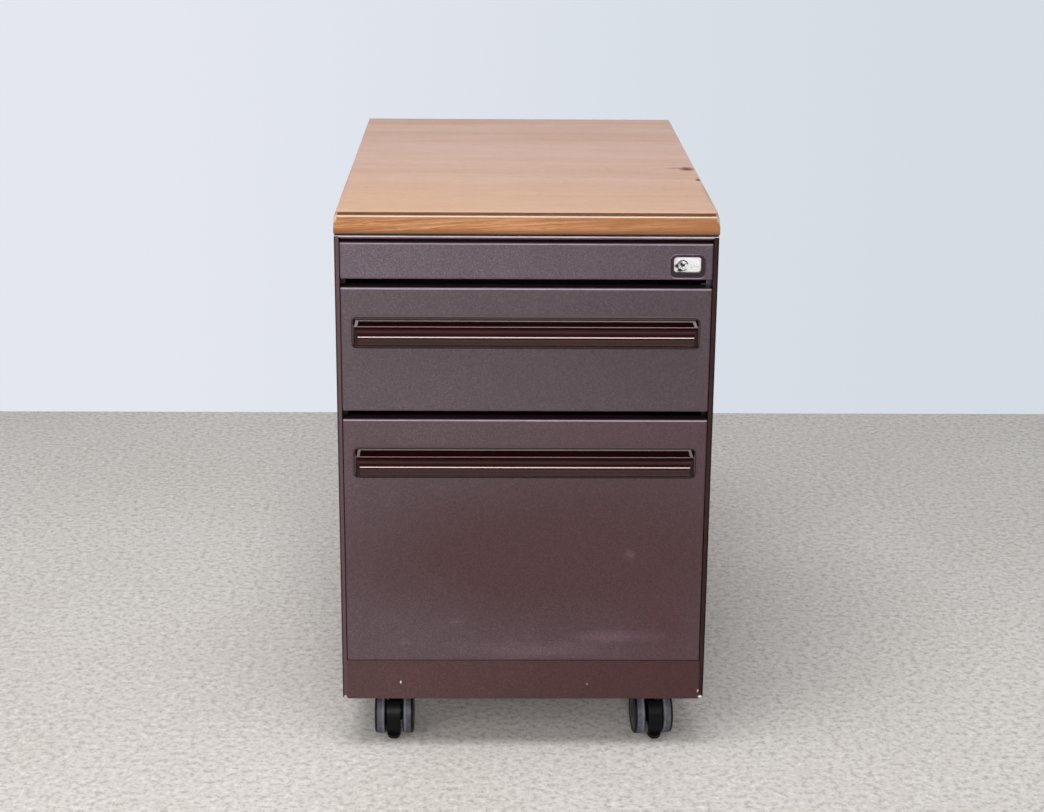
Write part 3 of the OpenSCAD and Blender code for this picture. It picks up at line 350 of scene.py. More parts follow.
def pull_plastic(node, painted):
    """Glossy red-brown moulding; its flange takes the colour of the front, with a line of painted shade
    for the gap around it and painted shadow below the nose.
    """
    low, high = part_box(node)
    r = Recipe(node + "_plastic", {
        "Specular IOR Level": 0.15, "Specular Tint": (1, 0.5, 0.45, 1),
        "Coat Weight": 0.75, "Coat Roughness": 0.04, "Coat IOR": 1.5,
    })
    colour = rgb(38, 10, 10)
    flow = r.noise(14, 4, 0.6)
    shade = r.mix(r.levels(flow, 0.35, 0.75), colour, scaled(colour, 1.3, 0.001))
    dust = r.noise(260, 4, 0.75)
    shade = r.mix(r.levels(dust, 0.6, 0.85, 0, 0.1), shade, scaled(colour, 1.5, 0.02))
    # Distance from the flange's rounded border, less than zero inside it
    corner = 7.7 * MM
    middle_z, half_z = (low.z + high.z) / 2, (high.z - low.z) / 2
    x_over = r.math("SUBTRACT", r.math("ABSOLUTE", r.axis("X")), high.x - corner)
    from_middle = r.math("ABSOLUTE", r.math("SUBTRACT", r.axis("Z"), middle_z))
    z_over = r.math("SUBTRACT", from_middle, half_z - corner)
    x_over, z_over = r.math("MAXIMUM", x_over, 0.0), r.math("MAXIMUM", z_over, 0.0)
    squares = r.math("ADD", r.math("MULTIPLY", x_over, x_over), r.math("MULTIPLY", z_over, z_over))
    border = r.math("SUBTRACT", r.math("SQRT", squares), corner)
    flange = r.band("Y", FACE_Y - 0.95 * MM, FACE_Y - 0.05 * MM, 0.04 * MM)
    outer = r.levels(border, -1.9 * MM, -1.5 * MM)
    inner = r.levels(border, -3.2 * MM, -2.8 * MM)
    # Painted shade: a dark line across the flange for the gap around it
    gap_shade = r.math("MULTIPLY", inner, r.levels(border, -1.9 * MM, -1.5 * MM, 1, 0))
    upper = r.levels(r.axis("Z"), low.z + 3 * MM, low.z + 5 * MM)
    flange_tone = r.mix(outer, r.mix(gap_shade, rgb(70, 56, 62), rgb(14, 6, 8)), painted)
    # Painted shadow: the flange is near-black below the nose
    flange_tone = r.mix(upper, rgb(14, 7, 8), flange_tone)
    shade = r.mix(flange, shade, flange_tone)
    rough = r.levels(r.noise(30, 5, 0.7), 0.3, 0.75, 0.12, 0.18)
    rough = r.math("ADD", rough, r.math("MULTIPLY", flange, 0.3))
    normal = r.bump(r.noise(900, 2, 0.6), 0.002 * MM)
    return r.finish(shade, rough, r.rounded(0.05 * MM, normal))


def plated_steel(name, colour, gloss, brushed, metal=1.0, dulling=0.72, marks=()):
    """Zinc or nickel plate with drawn lines, cloudiness and any marks given; the lock's are painted shade.
    """
    r = Recipe(name, {"Metallic": metal})
    lines = r.noise(1, 3, 0.6, 0.0, r.stretched(brushed))
    cloud = r.noise(22, 5, 0.65)
    dull = scaled(colour, dulling)
    shade = r.mix(r.levels(cloud, 0.3, 0.75), colour, dull)
    shade = r.mix(r.levels(lines, 0.4, 0.75, 0, 0.3), shade, dull)
    shade = add_marks(r, shade, marks)
    rough = r.levels(r.math("ADD", lines, cloud), 0.7, 1.3, gloss, gloss + 0.14)
    normal = r.bump(lines, 0.01 * MM)
    return r.finish(shade, rough, r.rounded(0.25 * MM, normal))


def tread_rubber(wheel, outward):
    """Grey tread with a painted highlight along its inner shoulder, dust, and near-black flanks."""
    r = Recipe(wheel + "_rubber", {"Specular IOR Level": 0.25})
    low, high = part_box(wheel)
    # Place along the axle from the wheel's middle
    side = r.vector("DOT_PRODUCT", r.vector("SUBTRACT", r.place, (low + high) / 2), outward)
    colour, dusty, dark = rgb(78, 78, 86), rgb(104, 106, 116), rgb(12, 12, 14)
    shade = r.mix(r.levels(r.noise(150, 5, 0.6), 0.3, 0.75), colour, dusty)
    # Painted highlight along the tread's inner shoulder
    tread_highlight_end = r.levels(side, -3.2 * MM, -1.4 * MM, 1, 0)
    tread_highlight = r.math("MULTIPLY", r.levels(side, -4.6 * MM, -3.6 * MM), tread_highlight_end)
    shade = r.mix(r.math("MULTIPLY", tread_highlight, 0.5), shade, rgb(150, 154, 164))
    grime = r.levels(r.noise(36, 5, 0.65), 0.45, 0.72, 0, 0.5)
    shade = r.mix(grime, shade, rgb(52, 50, 54))
    shade = r.mix(r.levels(side, 2.6 * MM, 3.8 * MM), shade, dark)
    shade = r.mix(r.levels(side, -4.8 * MM, -5.6 * MM), shade, dark)
    rough = r.levels(r.noise(80, 5, 0.7), 0.3, 0.7, 0.3, 0.5)
    normal = r.bump(r.noise(900, 3, 0.6), 0.04 * MM)
    return r.finish(shade, rough, r.rounded(0.4 * MM, normal))


def paint_nodes(material, names):
    """Gives a material to every slot of the named nodes, whose names are set apart by spaces."""
    for name in names.split():
        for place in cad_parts[name].material_slots:
            place.material = material


SIDE_PAINT = rgb(72, 48, 52)
SMUDGE = rgb(122, 98, 106)
BARE = rgb(205, 200, 200)
BARE_BRIGHT = rgb(240, 236, 232)
# Painted highlight of the top pan's front hem
HEM_HIGHLIGHT = rgb(200, 196, 208)
# Painted highlight along the fronts' top folds
FOLD_HIGHLIGHT = rgb(160, 146, 158)
# Painted shade on the outer edge of the left side
OUTER_EDGE_SHADE = rgb(24, 18, 23)
EVERYWHERE = 1.0  # a Y behind the whole object


def front_lines(node):
    """A painted highlight along the top fold of a front, and painted shade on its upper edge."""
    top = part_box(node)[1].z
    return [
        ("Z", top - 1.7 * MM, top - 0.4 * MM, 0.45 * MM, FACE_Y + 2.2 * MM, FOLD_HIGHLIGHT, 0.8),
        ("Z", top - 0.4 * MM, top + 1 * MM, 0.2 * MM, EVERYWHERE, rgb(44, 24, 32), 0.8),
    ]


# The widest mark is painted shade: darker and redder over the middle of the front. The others are reddish
# patches and pale smudges.
file_marks = [
    ((0.04, FACE_Y, 0.232), 190 * MM, rgb(66, 37, 40), 0.95, (0.5, 0.05, 1.5), 0.15),
    ((0.150, FACE_Y, 0.150), 70 * MM, rgb(70, 34, 38), 0.5, (0.8, 0.05, 1), 0.5),
    ((0.115, FACE_Y, 0.2326), 20 * MM, SMUDGE, 0.3, (1, 0.05, 1.3), 0.9),
    ((-0.0744, FACE_Y, 0.1535), 16 * MM, SMUDGE, 0.3, (0.7, 0.05, 1.6), 0.9),
    ((-0.1305, FACE_Y, 0.1296), 14 * MM, SMUDGE, 0.3, (0.8, 0.05, 1.4), 0.9),
    ((0.10, FACE_Y, 0.136), 48 * MM, SMUDGE, 0.28, (0.5, 0.05, 3), 0.6),
    ((0.02, FACE_Y, 0.121), 60 * MM, SMUDGE, 0.2, (0.35, 0.05, 3), 0.6),
]
plinth_marks = [
    ((-0.1973, CASE_FRONT_Y, 0.0632), 2.8 * MM, BARE, 0.95, (1, 0.2, 1), 0.4),
    ((0.1970, CASE_FRONT_Y, 0.0634), 3.9 * MM, BARE_BRIGHT, 1.0, (0.9, 0.2, 1.3), 0.4),
    ((0.1943, CASE_FRONT_Y, 0.0705), 3.6 * MM, BARE, 0.8, (2.0, 0.2, 0.9), 0.5),
    ((-0.1358, CASE_FRONT_Y, 0.0808), 2.2 * MM, rgb(230, 226, 222), 1.0, (1.4, 0.2, 0.7), 0.4),
    ((0.0709, CASE_FRONT_Y, 0.0785), 1.5 * MM, BARE, 0.8, (1, 0.2, 1), 0.5),
]
SIDE_EDGE_BACK = CASE_FRONT_Y + 0.3 * MM
HEM_BACK = CASE_FRONT_Y + 0.5 * MM
# Painted highlight and painted shade on the front edge of the left side
left_edge_light_and_shade = [
    ("X", -HALF_WIDTH + 1.2 * MM, -HALF_WIDTH + 4.2 * MM, 0.6 * MM, SIDE_EDGE_BACK, rgb(90, 62, 66), 0.85),
    ("X", -HALF_WIDTH - 1 * MM, -HALF_WIDTH + 1.3 * MM, 0.5 * MM, SIDE_EDGE_BACK, OUTER_EDGE_SHADE, 1.0),
]
# Painted shade on the front edge of the right side
right_edge_shade = [
    ("X", HALF_WIDTH - 5.5 * MM, HALF_WIDTH - 0.5 * MM, 0.4 * MM, SIDE_EDGE_BACK, rgb(42, 20, 18), 1.0),
    ("X", HALF_WIDTH - 1.3 * MM, HALF_WIDTH + 1 * MM, 0.4 * MM, SIDE_EDGE_BACK, rgb(6, 3, 3), 1.0),
]
# Painted highlight along the top pan's front hem
hem_highlight = ("Z", CASE_TOP - 1.6 * MM, CASE_TOP + 1 * MM, 0.2 * MM, HEM_BACK, HEM_HIGHLIGHT, 1.0)

left_paint = coated_steel("left_paint", SIDE_PAINT, plinth_marks, lines=left_edge_light_and_shade)
right_paint = coated_steel("right_paint", SIDE_PAINT, plinth_marks, lines=right_edge_shade, shine=0.2)
case_paint = coated_steel("case_paint", SIDE_PAINT)
pan_paint = coated_steel("pan_paint", SIDE_PAINT, lines=[hem_highlight])
# Painted shade: the plinth darkens towards the right
plinth_paint = coated_steel("plinth_paint", rgb(75, 46, 48), plinth_marks, painted_shade_right=rgb(62, 26, 30))
# The fronts are lighter and darker copies of one paint, palest at the top: painted sheen. Each darkens
# towards the right: painted shade.
tray_paint = coated_steel(
    "tray_paint", rgb(92, 79, 88), lines=front_lines("tray_front"), painted_shade_right=rgb(79, 65, 73)
)
upper_paint = coated_steel(
    "upper_paint", rgb(81, 68, 74), lines=front_lines("upper_front"), painted_shade_right=rgb(70, 56, 63)
)
file_paint = coated_steel(
    "file_paint", rgb(80, 63, 69), file_marks, lines=front_lines("file_front"), painted_shade_right=rgb(73, 50, 57)
)
inner_paint = coated_steel("inner_paint", rgb(58, 36, 40), gloss=0.42)
# Painted light: the top rail is a lighter, redder copy of the inner paint, lifted against the shade under
# the top
rail_lit_paint = coated_steel("rail_lit_paint", rgb(120, 64, 68), gloss=0.42)
# The knot, its tail, a second knot, a speck, and the darker stretches of both long edges
board_marks = [
    ((0.1885, CASE_FRONT_Y + 0.2528, TOP_Z), 15 * MM, rgb(104, 48, 34), 1.0, (0.9, 0.62, 1), 0.5),
    ((0.176, CASE_FRONT_Y + 0.2578, TOP_Z), 20 * MM, rgb(150, 92, 70), 0.75, (0.8, 2.6, 1), 0.6),
    ((0.1950, CASE_FRONT_Y + 0.1846, TOP_Z), 8 * MM, rgb(86, 46, 38), 1.0, (1.5, 0.5, 1), 0.5),
    ((0.0967, CASE_FRONT_Y + 0.2568, TOP_Z), 2.4 * MM, rgb(84, 50, 40), 0.8, (0.8, 1.6, 1), 0.4),
    ((0.200, CASE_FRONT_Y + 0.10, TOP_Z), 9 * MM, rgb(120, 76, 52), 0.5, (1, 0.06, 1), 0.5),
    ((-0.200, CASE_FRONT_Y + 0.16, TOP_Z), 7 * MM, rgb(120, 80, 60), 0.4, (1, 0.04, 1), 0.5),
]
board_wood = veneer(
    "board_wood", rgb(208, 176, 160), rgb(196, 158, 137), rgb(118, 74, 52), rgb(207, 166, 130), board_marks
)
lipping_wood = solid_wood(
    "lipping_wood", rgb(212, 155, 108), rgb(166, 104, 52), rgb(92, 50, 20),
    rgb(112, 62, 12), rgb(246, 224, 206), rgb(250, 216, 150),
)

black_plastic = moulded_plastic(
    "black_plastic", rgb(9, 9, 11), 0.3, 0.42, 1100, 0.02 * MM, {"Specular IOR Level": 0.12}
)
insert_plastic = moulded_plastic("insert_plastic", rgb(34, 34, 37), 0.4, 0.55, 900, 0.03 * MM)
cap_plastic = moulded_plastic(
    "cap_plastic", rgb(24, 23, 25), 0.3, 0.42, 1100, 0.02 * MM, {"Specular IOR Level": 0.3}
)
bezel_plastic = moulded_plastic(
    "bezel_plastic", rgb(38, 24, 34), 0.3, 0.4, 1100, 0.01 * MM, {"Specular IOR Level": 0.35}
)
hole_black = moulded_plastic("hole_black", rgb(8, 7, 8), 0.6, 0.75, 1100, 0.01 * MM)
nylon = moulded_plastic("nylon", rgb(214, 212, 200), 0.35, 0.5, 700, 0.01 * MM)
zinc = plated_steel("zinc", rgb(176, 178, 182), 0.26, (900, 8, 900))
bar_zinc = plated_steel("bar_zinc", rgb(104, 102, 108), 0.34, (900, 900, 8))
# Painted shade: dark spots on the plug and the plate beside it, around the folded key's hinge
LOCK_SHADE = rgb(24, 20, 22)
lock_shade_marks = [
    ((LOCK_X - 6.4 * MM, PLATE_Y, LOCK_Z - 0.5 * MM), 4.0 * MM, LOCK_SHADE, 1.0, (1, 0.1, 1), 0.3),
    ((LOCK_X - 3.0 * MM, PLATE_Y, LOCK_Z - 4.9 * MM), 4.4 * MM, LOCK_SHADE, 1.0, (0.9, 0.1, 1.2), 0.3),
    ((LOCK_X - 0.8 * MM, PLATE_Y, LOCK_Z + 2.0 * MM), 4.6 * MM, LOCK_SHADE, 1.0, (0.9, 0.1, 1.2), 0.3),
]
# Painted reflection: the plate is plain white and not metallic, as bright as a reflection in nickel
lock_painted_reflection = plated_steel("lock_painted_reflection", rgb(255, 255, 255), 0.3, (30, 900, 900), 0.0, 0.97, lock_shade_marks)
plug_nickel = plated_steel("plug_nickel", rgb(236, 235, 232), 0.2, (30, 900, 900), 0.5, 0.8, lock_shade_marks)

paint_nodes(left_paint, "side_left")
paint_nodes(right_paint, "side_right")
paint_nodes(case_paint, "back_panel base_pan")
paint_nodes(pan_paint, "top_pan")
paint_nodes(plinth_paint, "plinth")
paint_nodes(tray_paint, "tray_front")
paint_nodes(upper_paint, "upper_front")
paint_nodes(file_paint, "file_front")
paint_nodes(rail_lit_paint, "top_rail")
paint_nodes(inner_paint, "uprights bar_guides tray_body upper_body file_body")
paint_nodes(board_wood, "top_board")
paint_nodes(lipping_wood, "top_lipping")
paint_nodes(pull_plastic("upper_pull", rgb(80, 66, 72)), "upper_pull")
paint_nodes(pull_plastic("file_pull", rgb(76, 58, 63)), "file_pull")
paint_nodes(bezel_plastic, "lock_bezel")
paint_nodes(lock_painted_reflection, "lock_plate")
paint_nodes(plug_nickel, "lock_plug key_bow")
paint_nodes(nylon, "tray_glides")
paint_nodes(insert_plastic, "pen_insert")
paint_nodes(bar_zinc, "gang_bar gang_hooks")
paint_nodes(black_plastic, "fl_fork fr_fork rl_fork rr_fork fl_brake fr_brake")
paint_nodes(zinc, "top_screws tray_runners tray_rails lock_housing lock_bolt upper_catch file_catch")
paint_nodes(zinc, "upper_slide_case upper_slide_mid upper_slide_inner upper_case_cages upper_inner_cages")
paint_nodes(zinc, "file_slide_case file_slide_mid file_slide_inner file_case_cages file_inner_cages")
paint_nodes(zinc, "file_rails caster_plates")

CASTER_TURN = {"fl": 0.0, "fr": 5.5, "rl": 0.0, "rr": 0.0}  # degrees, as in part.scad


def wheels():
    """Each wheel's node, and the direction of its axle out of the caster."""
    for caster, degrees in CASTER_TURN.items():
        across = Matrix.Rotation(math.radians(degrees), 3, "Z") @ Vector((1, 0, 0))
        yield f"{caster}_wheel_left", -across
        yield f"{caster}_wheel_right", across


for wheel, outward in wheels():
    paint_nodes(tread_rubber(wheel, outward), wheel)


# ---------------------------------------------------------- fine pieces


SMOOTH_ANGLE = math.radians(35)


def add_piece(name, body, material, bm):
    """Turns a bmesh in the frame's coordinates into a piece that rides on a body."""
    bmesh.ops.remove_doubles(bm, verts=bm.verts, dist=1e-6)
    bmesh.ops.recalc_face_normals(bm, faces=bm.faces)
    mesh = bpy.data.meshes.new(name)
    bm.to_mesh(mesh)
    bm.free()
    mesh.shade_smooth()
    mesh.set_sharp_from_angle(angle=SMOOTH_ANGLE)
    mesh.materials.append(material)
    piece = bpy.data.objects.new(name, mesh)
    bpy.context.collection.objects.link(piece)
    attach(piece, body)


def turned(axis):
    """A matrix whose Z is the axis, for pieces drawn about their own Z."""
    z = Vector(axis).normalized()
    x = Vector((0, 0, 1)).cross(z)
    if x.length < 1e-6:
        x = Vector((1, 0, 0)).cross(z)
    x.normalize()
    y = z.cross(x)
    return Matrix((x, y, z)).transposed().to_4x4()


def circle(bm, place, radius, height, segments):
    """A ring of vertices about the place's Z axis."""
    ring = []
    for i in range(segments):
        a = math.tau * i / segments
        ring.append(bm.verts.new(place @ Vector((radius * math.cos(a), radius * math.sin(a), height))))
    return ring


def lathe(bm, profile, place, segments):
    """Revolves (radius, height) points about the place's Z axis; a zero radius closes it."""
    rings = []
    for radius, height in profile:
        if radius == 0:
            rings.append([bm.verts.new(place @ Vector((0, 0, height)))])
        else:
            rings.append(circle(bm, place, radius, height, segments))
    for low, high in zip(rings, rings[1:]):
        count = max(len(low), len(high))
        for i in range(count):
            j = (i + 1) % count
            corners = [low[i % len(low)], low[j % len(low)], high[j % len(high)], high[i % len(high)]]
            unique = list(dict.fromkeys(corners))
            if len(unique) > 2:
                bm.faces.new(unique)


def cross_screw(bm, place, radius):
    """Pan-head screw with a cross recess, standing on the place's XY plane."""
    segments = 24
    height = flat = radius * 0.62
    head = [(radius, 0), (radius, height * 0.3), (radius * 0.86, height * 0.75), (flat, height)]
    lathe(bm, head, place, segments)
    arm, half = radius * 0.5, radius * 0.12
    cross = []
    for quarter in range(4):
        turn = Matrix.Rotation(quarter * math.pi / 2, 4, "Z")
        for x, y in ((arm, -half), (arm, half), (half, half)):
            cross.append(turn @ Vector((x, y, height)))
    top = [bm.verts.new(place @ p) for p in cross]
    pit = [bm.verts.new(place @ Vector((p.x * 0.6, p.y * 0.6, height * 0.35))) for p in cross]
    rim = circle(bm, place, flat, height, segments)
    edges = [bm.edges.new((a, b)) for ring in (top, rim) for a, b in zip(ring, ring[1:] + ring[:1])]
    bmesh.ops.triangle_fill(bm, edges=edges, use_beauty=True)
    for i, corner in enumerate(top):
        j = (i + 1) % len(top)
        bm.faces.new((corner, top[j], pit[j], pit[i]))
    bm.faces.new(pit)


def screws(name, body, points, axis, radius, material):
    """A set of equal screws on one body."""
    bm = bmesh.new()
    for point in points:
        cross_screw(bm, Matrix.Translation(point) @ turned(axis), radius)
    add_piece(name, body, material, bm)


def hub_cap(wheel, outward):
    """Shallow domed cap in the wheel's dish, with a groove near its rim and a raised boss."""
    low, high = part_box(wheel)
    place = Matrix.Translation((low + high) / 2) @ turned(outward)
    face = 6.0  # half the wheel's width; the whole profile is in mm
    profile = [
        (19.3, face - 1.55), (19.1, face - 0.5), (18.5, face - 0.15), (17.9, face - 0.15),
        (17.5, face - 0.6), (17.0, face - 0.6), (16.5, face - 0.25), (12.0, face - 0.05),
        (8.2, face - 0.05), (7.8, face - 0.35), (7.2, face - 0.35), (6.9, face + 0.1),
        (4.6, face + 0.25), (4.2, face - 0.1), (3.0, face - 0.1), (2.4, face + 0.2), (0.0, face + 0.3),
    ]
    bm = bmesh.new()
    lathe(bm, [(r * MM, h * MM) for r, h in profile], place, 96)
    add_piece(wheel + "_cap", wheel, cap_plastic, bm)


for wheel, outward in wheels():
    hub_cap(wheel, outward)

# Screws that hold the caster plates to the base pan, four around each swivel axis
plate_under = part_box("caster_plates")[1].z - 2.5 * MM
swivel_x = HALF_WIDTH - 55 * MM
swivel_front, swivel_back = CASE_FRONT_Y + 61 * MM, CASE_BACK_Y - 61 * MM
screw_x, screw_y = 13 * MM, 23 * MM
screws(
    "caster_screws", "case",
    [
        (x + dx, y + dy, plate_under)
        for x in (-swivel_x, swivel_x) for y in (swivel_front, swivel_back)
        for dx in (-screw_x, screw_x) for dy in (-screw_y, screw_y)
    ],
    (0, 0, -1), 4.2 * MM, zinc,
)

# Screws through the drawer sides into the slides, and into the fronts
BODY_SHEET = 1 * MM
SLIDE_SCREWS = (0.12, 0.5, 0.86)  # along the drawer's length
FRONT_SCREWS = (-0.13, -0.045, 0.045, 0.13)
for drawer in ("upper", "file"):
    low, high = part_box(f"{drawer}_body")
    rail_low, rail_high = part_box(f"{drawer}_slide_inner")
    rail_z = (rail_low.z + rail_high.z) / 2
    for side, tag in ((-1, "left"), (1, "right")):
        x = side * (high.x - BODY_SHEET)
        screws(
            f"{drawer}_slide_screws_{tag}", f"{drawer}_drawer",
            [(x, low.y + share * (high.y - low.y), rail_z) for share in SLIDE_SCREWS],
            (-side, 0, 0), 3.4 * MM, zinc,
        )
    front_z = low.z + (high.z - low.z) * 0.22
    screws(
        f"{drawer}_front_screws", f"{drawer}_drawer",
        [(x, low.y + BODY_SHEET, front_z) for x in FRONT_SCREWS],
        (0, 1, 0), 3.6 * MM, zinc,
    )

# Painted shade: a black ring for the shaded gap between the turning plug and the plate
gap_shade_profile = [(5.1, -0.02), (5.1, 0.1), (5.6, 0.14), (6.0, 0.02), (6.0, -0.02)]
bm = bmesh.new()
lathe(
    bm, [(r * MM, h * MM) for r, h in gap_shade_profile],
    Matrix.Translation((LOCK_X, PLATE_Y, LOCK_Z)) @ turned((0, -1, 0)), 48,
)
add_piece("plug_gap_shade", "pen_tray", hole_black, bm)


def framed(name, body, node, radius, profile, material):
    """A low ring around a node's rounded front; profile holds (outwards, forwards) in metres."""
    low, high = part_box(node)
    middle = (low + high) / 2
    half_x, half_z = (high.x - low.x) / 2 - radius, (high.z - low.z) / 2 - radius
    steps = 8
    directions = []
    for quarter, (sx, sz) in enumerate(((1, 1), (-1, 1), (-1, -1), (1, -1))):
        for step in range(steps + 1):
            a = math.pi / 2 * (quarter + step / steps)
            directions.append((sx * half_x, sz * half_z, math.cos(a), math.sin(a)))
    bm = bmesh.new()
    rings = []
    for outwards, forwards in profile:
        reach = radius + outwards
        rings.append([
            bm.verts.new((middle.x + x + reach * dx, FACE_Y - forwards, middle.z + z + reach * dz))
            for x, z, dx, dz in directions
        ])
    count = len(directions)
    for a, b in zip(rings, rings[1:] + rings[:1]):
        for i in range(count):
            bm.faces.new((a[i], a[(i + 1) % count], b[(i + 1) % count], b[i]))
    add_piece(name, body, material, bm)


# Raised ring pressed into the tray's front around the bezel, with a painted highlight along its foot
BEZEL_RADIUS = 6 * MM
foot_highlight = ("Z", BEZEL_Z - 3 * MM, BEZEL_Z - 0.1 * MM, 0.6 * MM, FACE_Y + 1 * MM, rgb(150, 136, 150), 1.0)
pressed_paint = coated_steel("pressed_paint", rgb(86, 72, 82), lines=[foot_highlight])
ring_profile = [(0.15, -0.05), (0.35, 0.3), (0.8, 0.34), (1.7, 0.05), (1.8, -0.05)]
framed(
    "bezel_ring", "pen_tray", "lock_bezel", BEZEL_RADIUS,
    [(outwards * MM, forwards * MM) for outwards, forwards in ring_profile], pressed_paint,
)


# ---------------------------------------------------------------- studio


def flat_piece(name, corners):
    """One face, for the floor and the wall."""
    mesh = bpy.data.meshes.new(name)
    mesh.from_pydata(corners, [], [(0, 1, 2, 3)])
    piece = bpy.data.objects.new(name, mesh)
    bpy.context.collection.objects.link(piece)
    return piece


def studio_floor():
    """Pale speckled concrete, which ends short of the window lamp in front."""
    near, far = -3.2, 6.0
    floor = flat_piece("floor", [(-far, near, 0), (far, near, 0), (far, far, 0), (-far, far, 0)])
    r = Recipe("floor_concrete", {"Specular IOR Level": 0.2})
    cloud = r.noise(2.2, 6, 0.6)
    grit = r.noise(120, 5, 0.8)
    shade = r.mix(r.levels(cloud, 0.3, 0.7), rgb(221, 215, 208), rgb(229, 224, 218))
    shade = r.mix(r.levels(grit, 0.47, 0.64, 0, 0.8), shade, rgb(180, 174, 167))
    shade = r.mix(r.levels(grit, 0.46, 0.34, 0, 0.8), shade, rgb(248, 244, 240))
    r.finish(shade, 0.8, r.bump(r.noise(90, 5, 0.6), 0.3 * MM))
    floor.data.materials.append(r.material)


def studio_wall(distance, left, right):
    """Plain backdrop behind the object, clear when it is looked at from behind."""
    half, height = 6.0, 5.0
    corners = [(-half, 0), (half, 0), (half, height), (-half, height)]
    wall = flat_piece("wall", [(x, distance, z) for x, z in corners])
    r = Recipe("wall_paint")
    colour = r.mix(r.levels(r.axis("X"), -0.8, 0.8), left, right)
    glow = r.node("ShaderNodeEmission", {"Color": colour, "Strength": 1.0})
    clear = r.node("ShaderNodeBsdfTransparent")
    path = r.node("ShaderNodeLightPath")
    seen = r.math("MAXIMUM", path.outputs["Is Camera Ray"], path.outputs["Is Transmission Ray"])
    front = r.math("SUBTRACT", 1.0, r.node("ShaderNodeNewGeometry").outputs["Backfacing"])
    blend = r.node("ShaderNodeMixShader", {"Fac": r.math("MULTIPLY", seen, front)})
    r.tree.links.new(clear.outputs[0], blend.inputs[1])
    r.tree.links.new(glow.outputs[0], blend.inputs[2])
    r.tree.links.new(blend.outputs[0], r.tree.nodes["Material Output"].inputs["Surface"])
    wall.data.materials.append(r.material)


def studio_world(ambient, backdrop_left, backdrop_right, room):
    """Even light from all sides.

    The camera sees a pale backdrop, and gloss sees that and the dim room in front.
    """
    world = bpy.data.worlds.new("studio")
    bpy.context.scene.world = world
    world.use_nodes = True
    nodes, links = world.node_tree.nodes, world.node_tree.links

    def ramp(source, low, high):
        """0 to 1 while a value goes from low to high."""
        made = nodes.new("ShaderNodeMapRange")
        made.interpolation_type = "SMOOTHSTEP"
        links.new(source, made.inputs["Value"])
        made.inputs["From Min"].default_value = low
        made.inputs["From Max"].default_value = high
        return made.outputs["Result"]

    def blend_colours(factor, a, b):
        """Mixes two colours, of which each may be a socket."""
        made = nodes.new("ShaderNodeMix")
        made.data_type = "RGBA"
        links.new(factor, made.inputs[0])
        for index, value in ((6, a), (7, b)):
            if isinstance(value, bpy.types.NodeSocket):
                links.new(value, made.inputs[index])
            else:
                made.inputs[index].default_value = value
        return made.outputs[2]

    facing = nodes.new("ShaderNodeSeparateXYZ")
    links.new(nodes.new("ShaderNodeTexCoord").outputs["Generated"], facing.inputs[0])
    seen_colour = blend_colours(ramp(facing.outputs["X"], -0.3, 0.3), backdrop_left, backdrop_right)
    gloss_colour = blend_colours(ramp(facing.outputs["Y"], -0.15, -0.75), seen_colour, room)
    light = nodes["Background"]
    light.inputs["Color"].default_value = ambient[:3] + (1,)
    light.inputs["Strength"].default_value = ambient[3]
    seen = nodes.new("ShaderNodeBackground")
    links.new(seen_colour, seen.inputs["Color"])
    gloss = nodes.new("ShaderNodeBackground")
    links.new(gloss_colour, gloss.inputs["Color"])
    path = nodes.new("ShaderNodeLightPath")
    direct = nodes.new("ShaderNodeMath")
    direct.operation = "MAXIMUM"
    links.new(path.outputs["Is Camera Ray"], direct.inputs[0])
    links.new(path.outputs["Is Transmission Ray"], direct.inputs[1])
    lit_or_glossy = nodes.new("ShaderNodeMixShader")
    links.new(path.outputs["Is Glossy Ray"], lit_or_glossy.inputs["Fac"])
    links.new(light.outputs[0], lit_or_glossy.inputs[1])
    links.new(gloss.outputs[0], lit_or_glossy.inputs[2])
    surface = nodes.new("ShaderNodeMixShader")
    links.new(direct.outputs[0], surface.inputs["Fac"])
    links.new(lit_or_glossy.outputs[0], surface.inputs[1])
    links.new(seen.outputs[0], surface.inputs[2])
    links.new(surface.outputs[0], nodes["World Output"].inputs["Surface"])


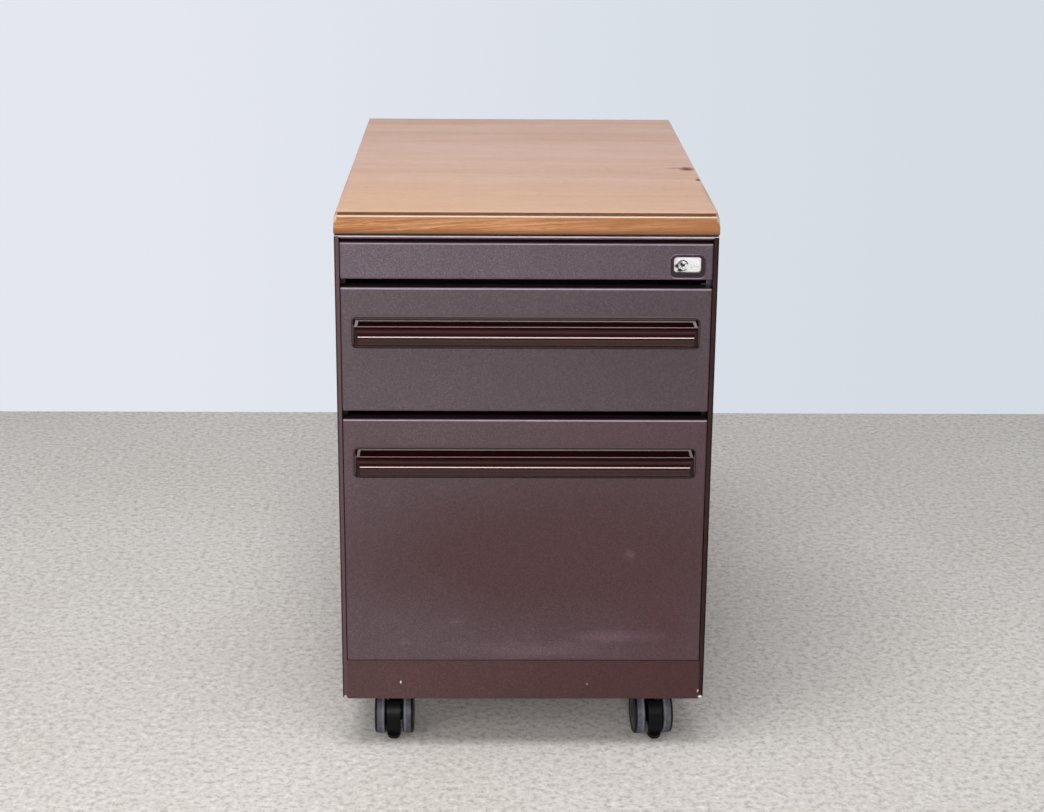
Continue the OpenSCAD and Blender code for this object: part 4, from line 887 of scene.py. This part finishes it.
def soft_light(name, place, target, width, height, power, colour, mirrored=True):
    """An area lamp; one that isn't mirrored lights the object without showing in its gloss."""
    data = bpy.data.lights.new(name, "AREA")
    data.shape = "RECTANGLE"
    data.size, data.size_y = width, height
    data.energy = power
    data.color = colour
    light = bpy.data.objects.new(name, data)
    bpy.context.collection.objects.link(light)
    light.location = place
    light.rotation_euler = (Vector(target) - Vector(place)).to_track_quat("-Z", "Y").to_euler()
    light.visible_glossy = mirrored


def photo_camera():
    """Camera at the photograph's place, worked out from the straight edges of the case."""
    place = Matrix.Translation((-0.0375, -2.3506, 1.0306))
    yaw, pitch, roll = (math.radians(a) for a in (-0.945, -17.05, -0.435))
    turn = Matrix.Rotation(yaw, 4, "Z") @ Matrix.Rotation(pitch, 4, "X") @ Matrix.Rotation(roll, 4, "Y")
    data = bpy.data.cameras.new("photo_camera")
    data.sensor_width = 36
    data.lens = 69.59
    data.clip_start, data.clip_end = 0.05, 50
    camera = bpy.data.objects.new("photo_camera", data)
    bpy.context.collection.objects.link(camera)
    # Level along Y, and then turned
    camera.matrix_world = place @ turn @ Matrix.Rotation(math.pi / 2, 4, "X")
    bpy.context.scene.camera = camera


WALL_Y = 0.97
BACKDROP_LEFT = rgb(228, 231, 240)
AMBIENT = (0.84, 0.86, 0.90, 0.42)  # red, green, blue, strength
DIM_ROOM = (0.05, 0.045, 0.06, 1)

studio_floor()
studio_wall(WALL_Y, BACKDROP_LEFT, rgb(213, 220, 228))
studio_world(AMBIENT, BACKDROP_LEFT, rgb(214, 221, 229), DIM_ROOM)
soft_light("window", (0.03, -3.3, 1.25), (0, 0, 0.45), 1.0, 0.62, 39, (1.0, 0.99, 0.98))
soft_light("ceiling", (-0.25, -0.75, 2.5), (0, -0.1, 0.5), 1.5, 0.9, 30, (0.98, 0.99, 1.0), False)
soft_light("key", (-1.35, -1.9, 1.2), (0, 0, 0.2), 0.9, 0.9, 10, (1.0, 0.98, 0.95), False)
photo_camera()
bpy.context.scene.view_settings.view_transform = "Standard"
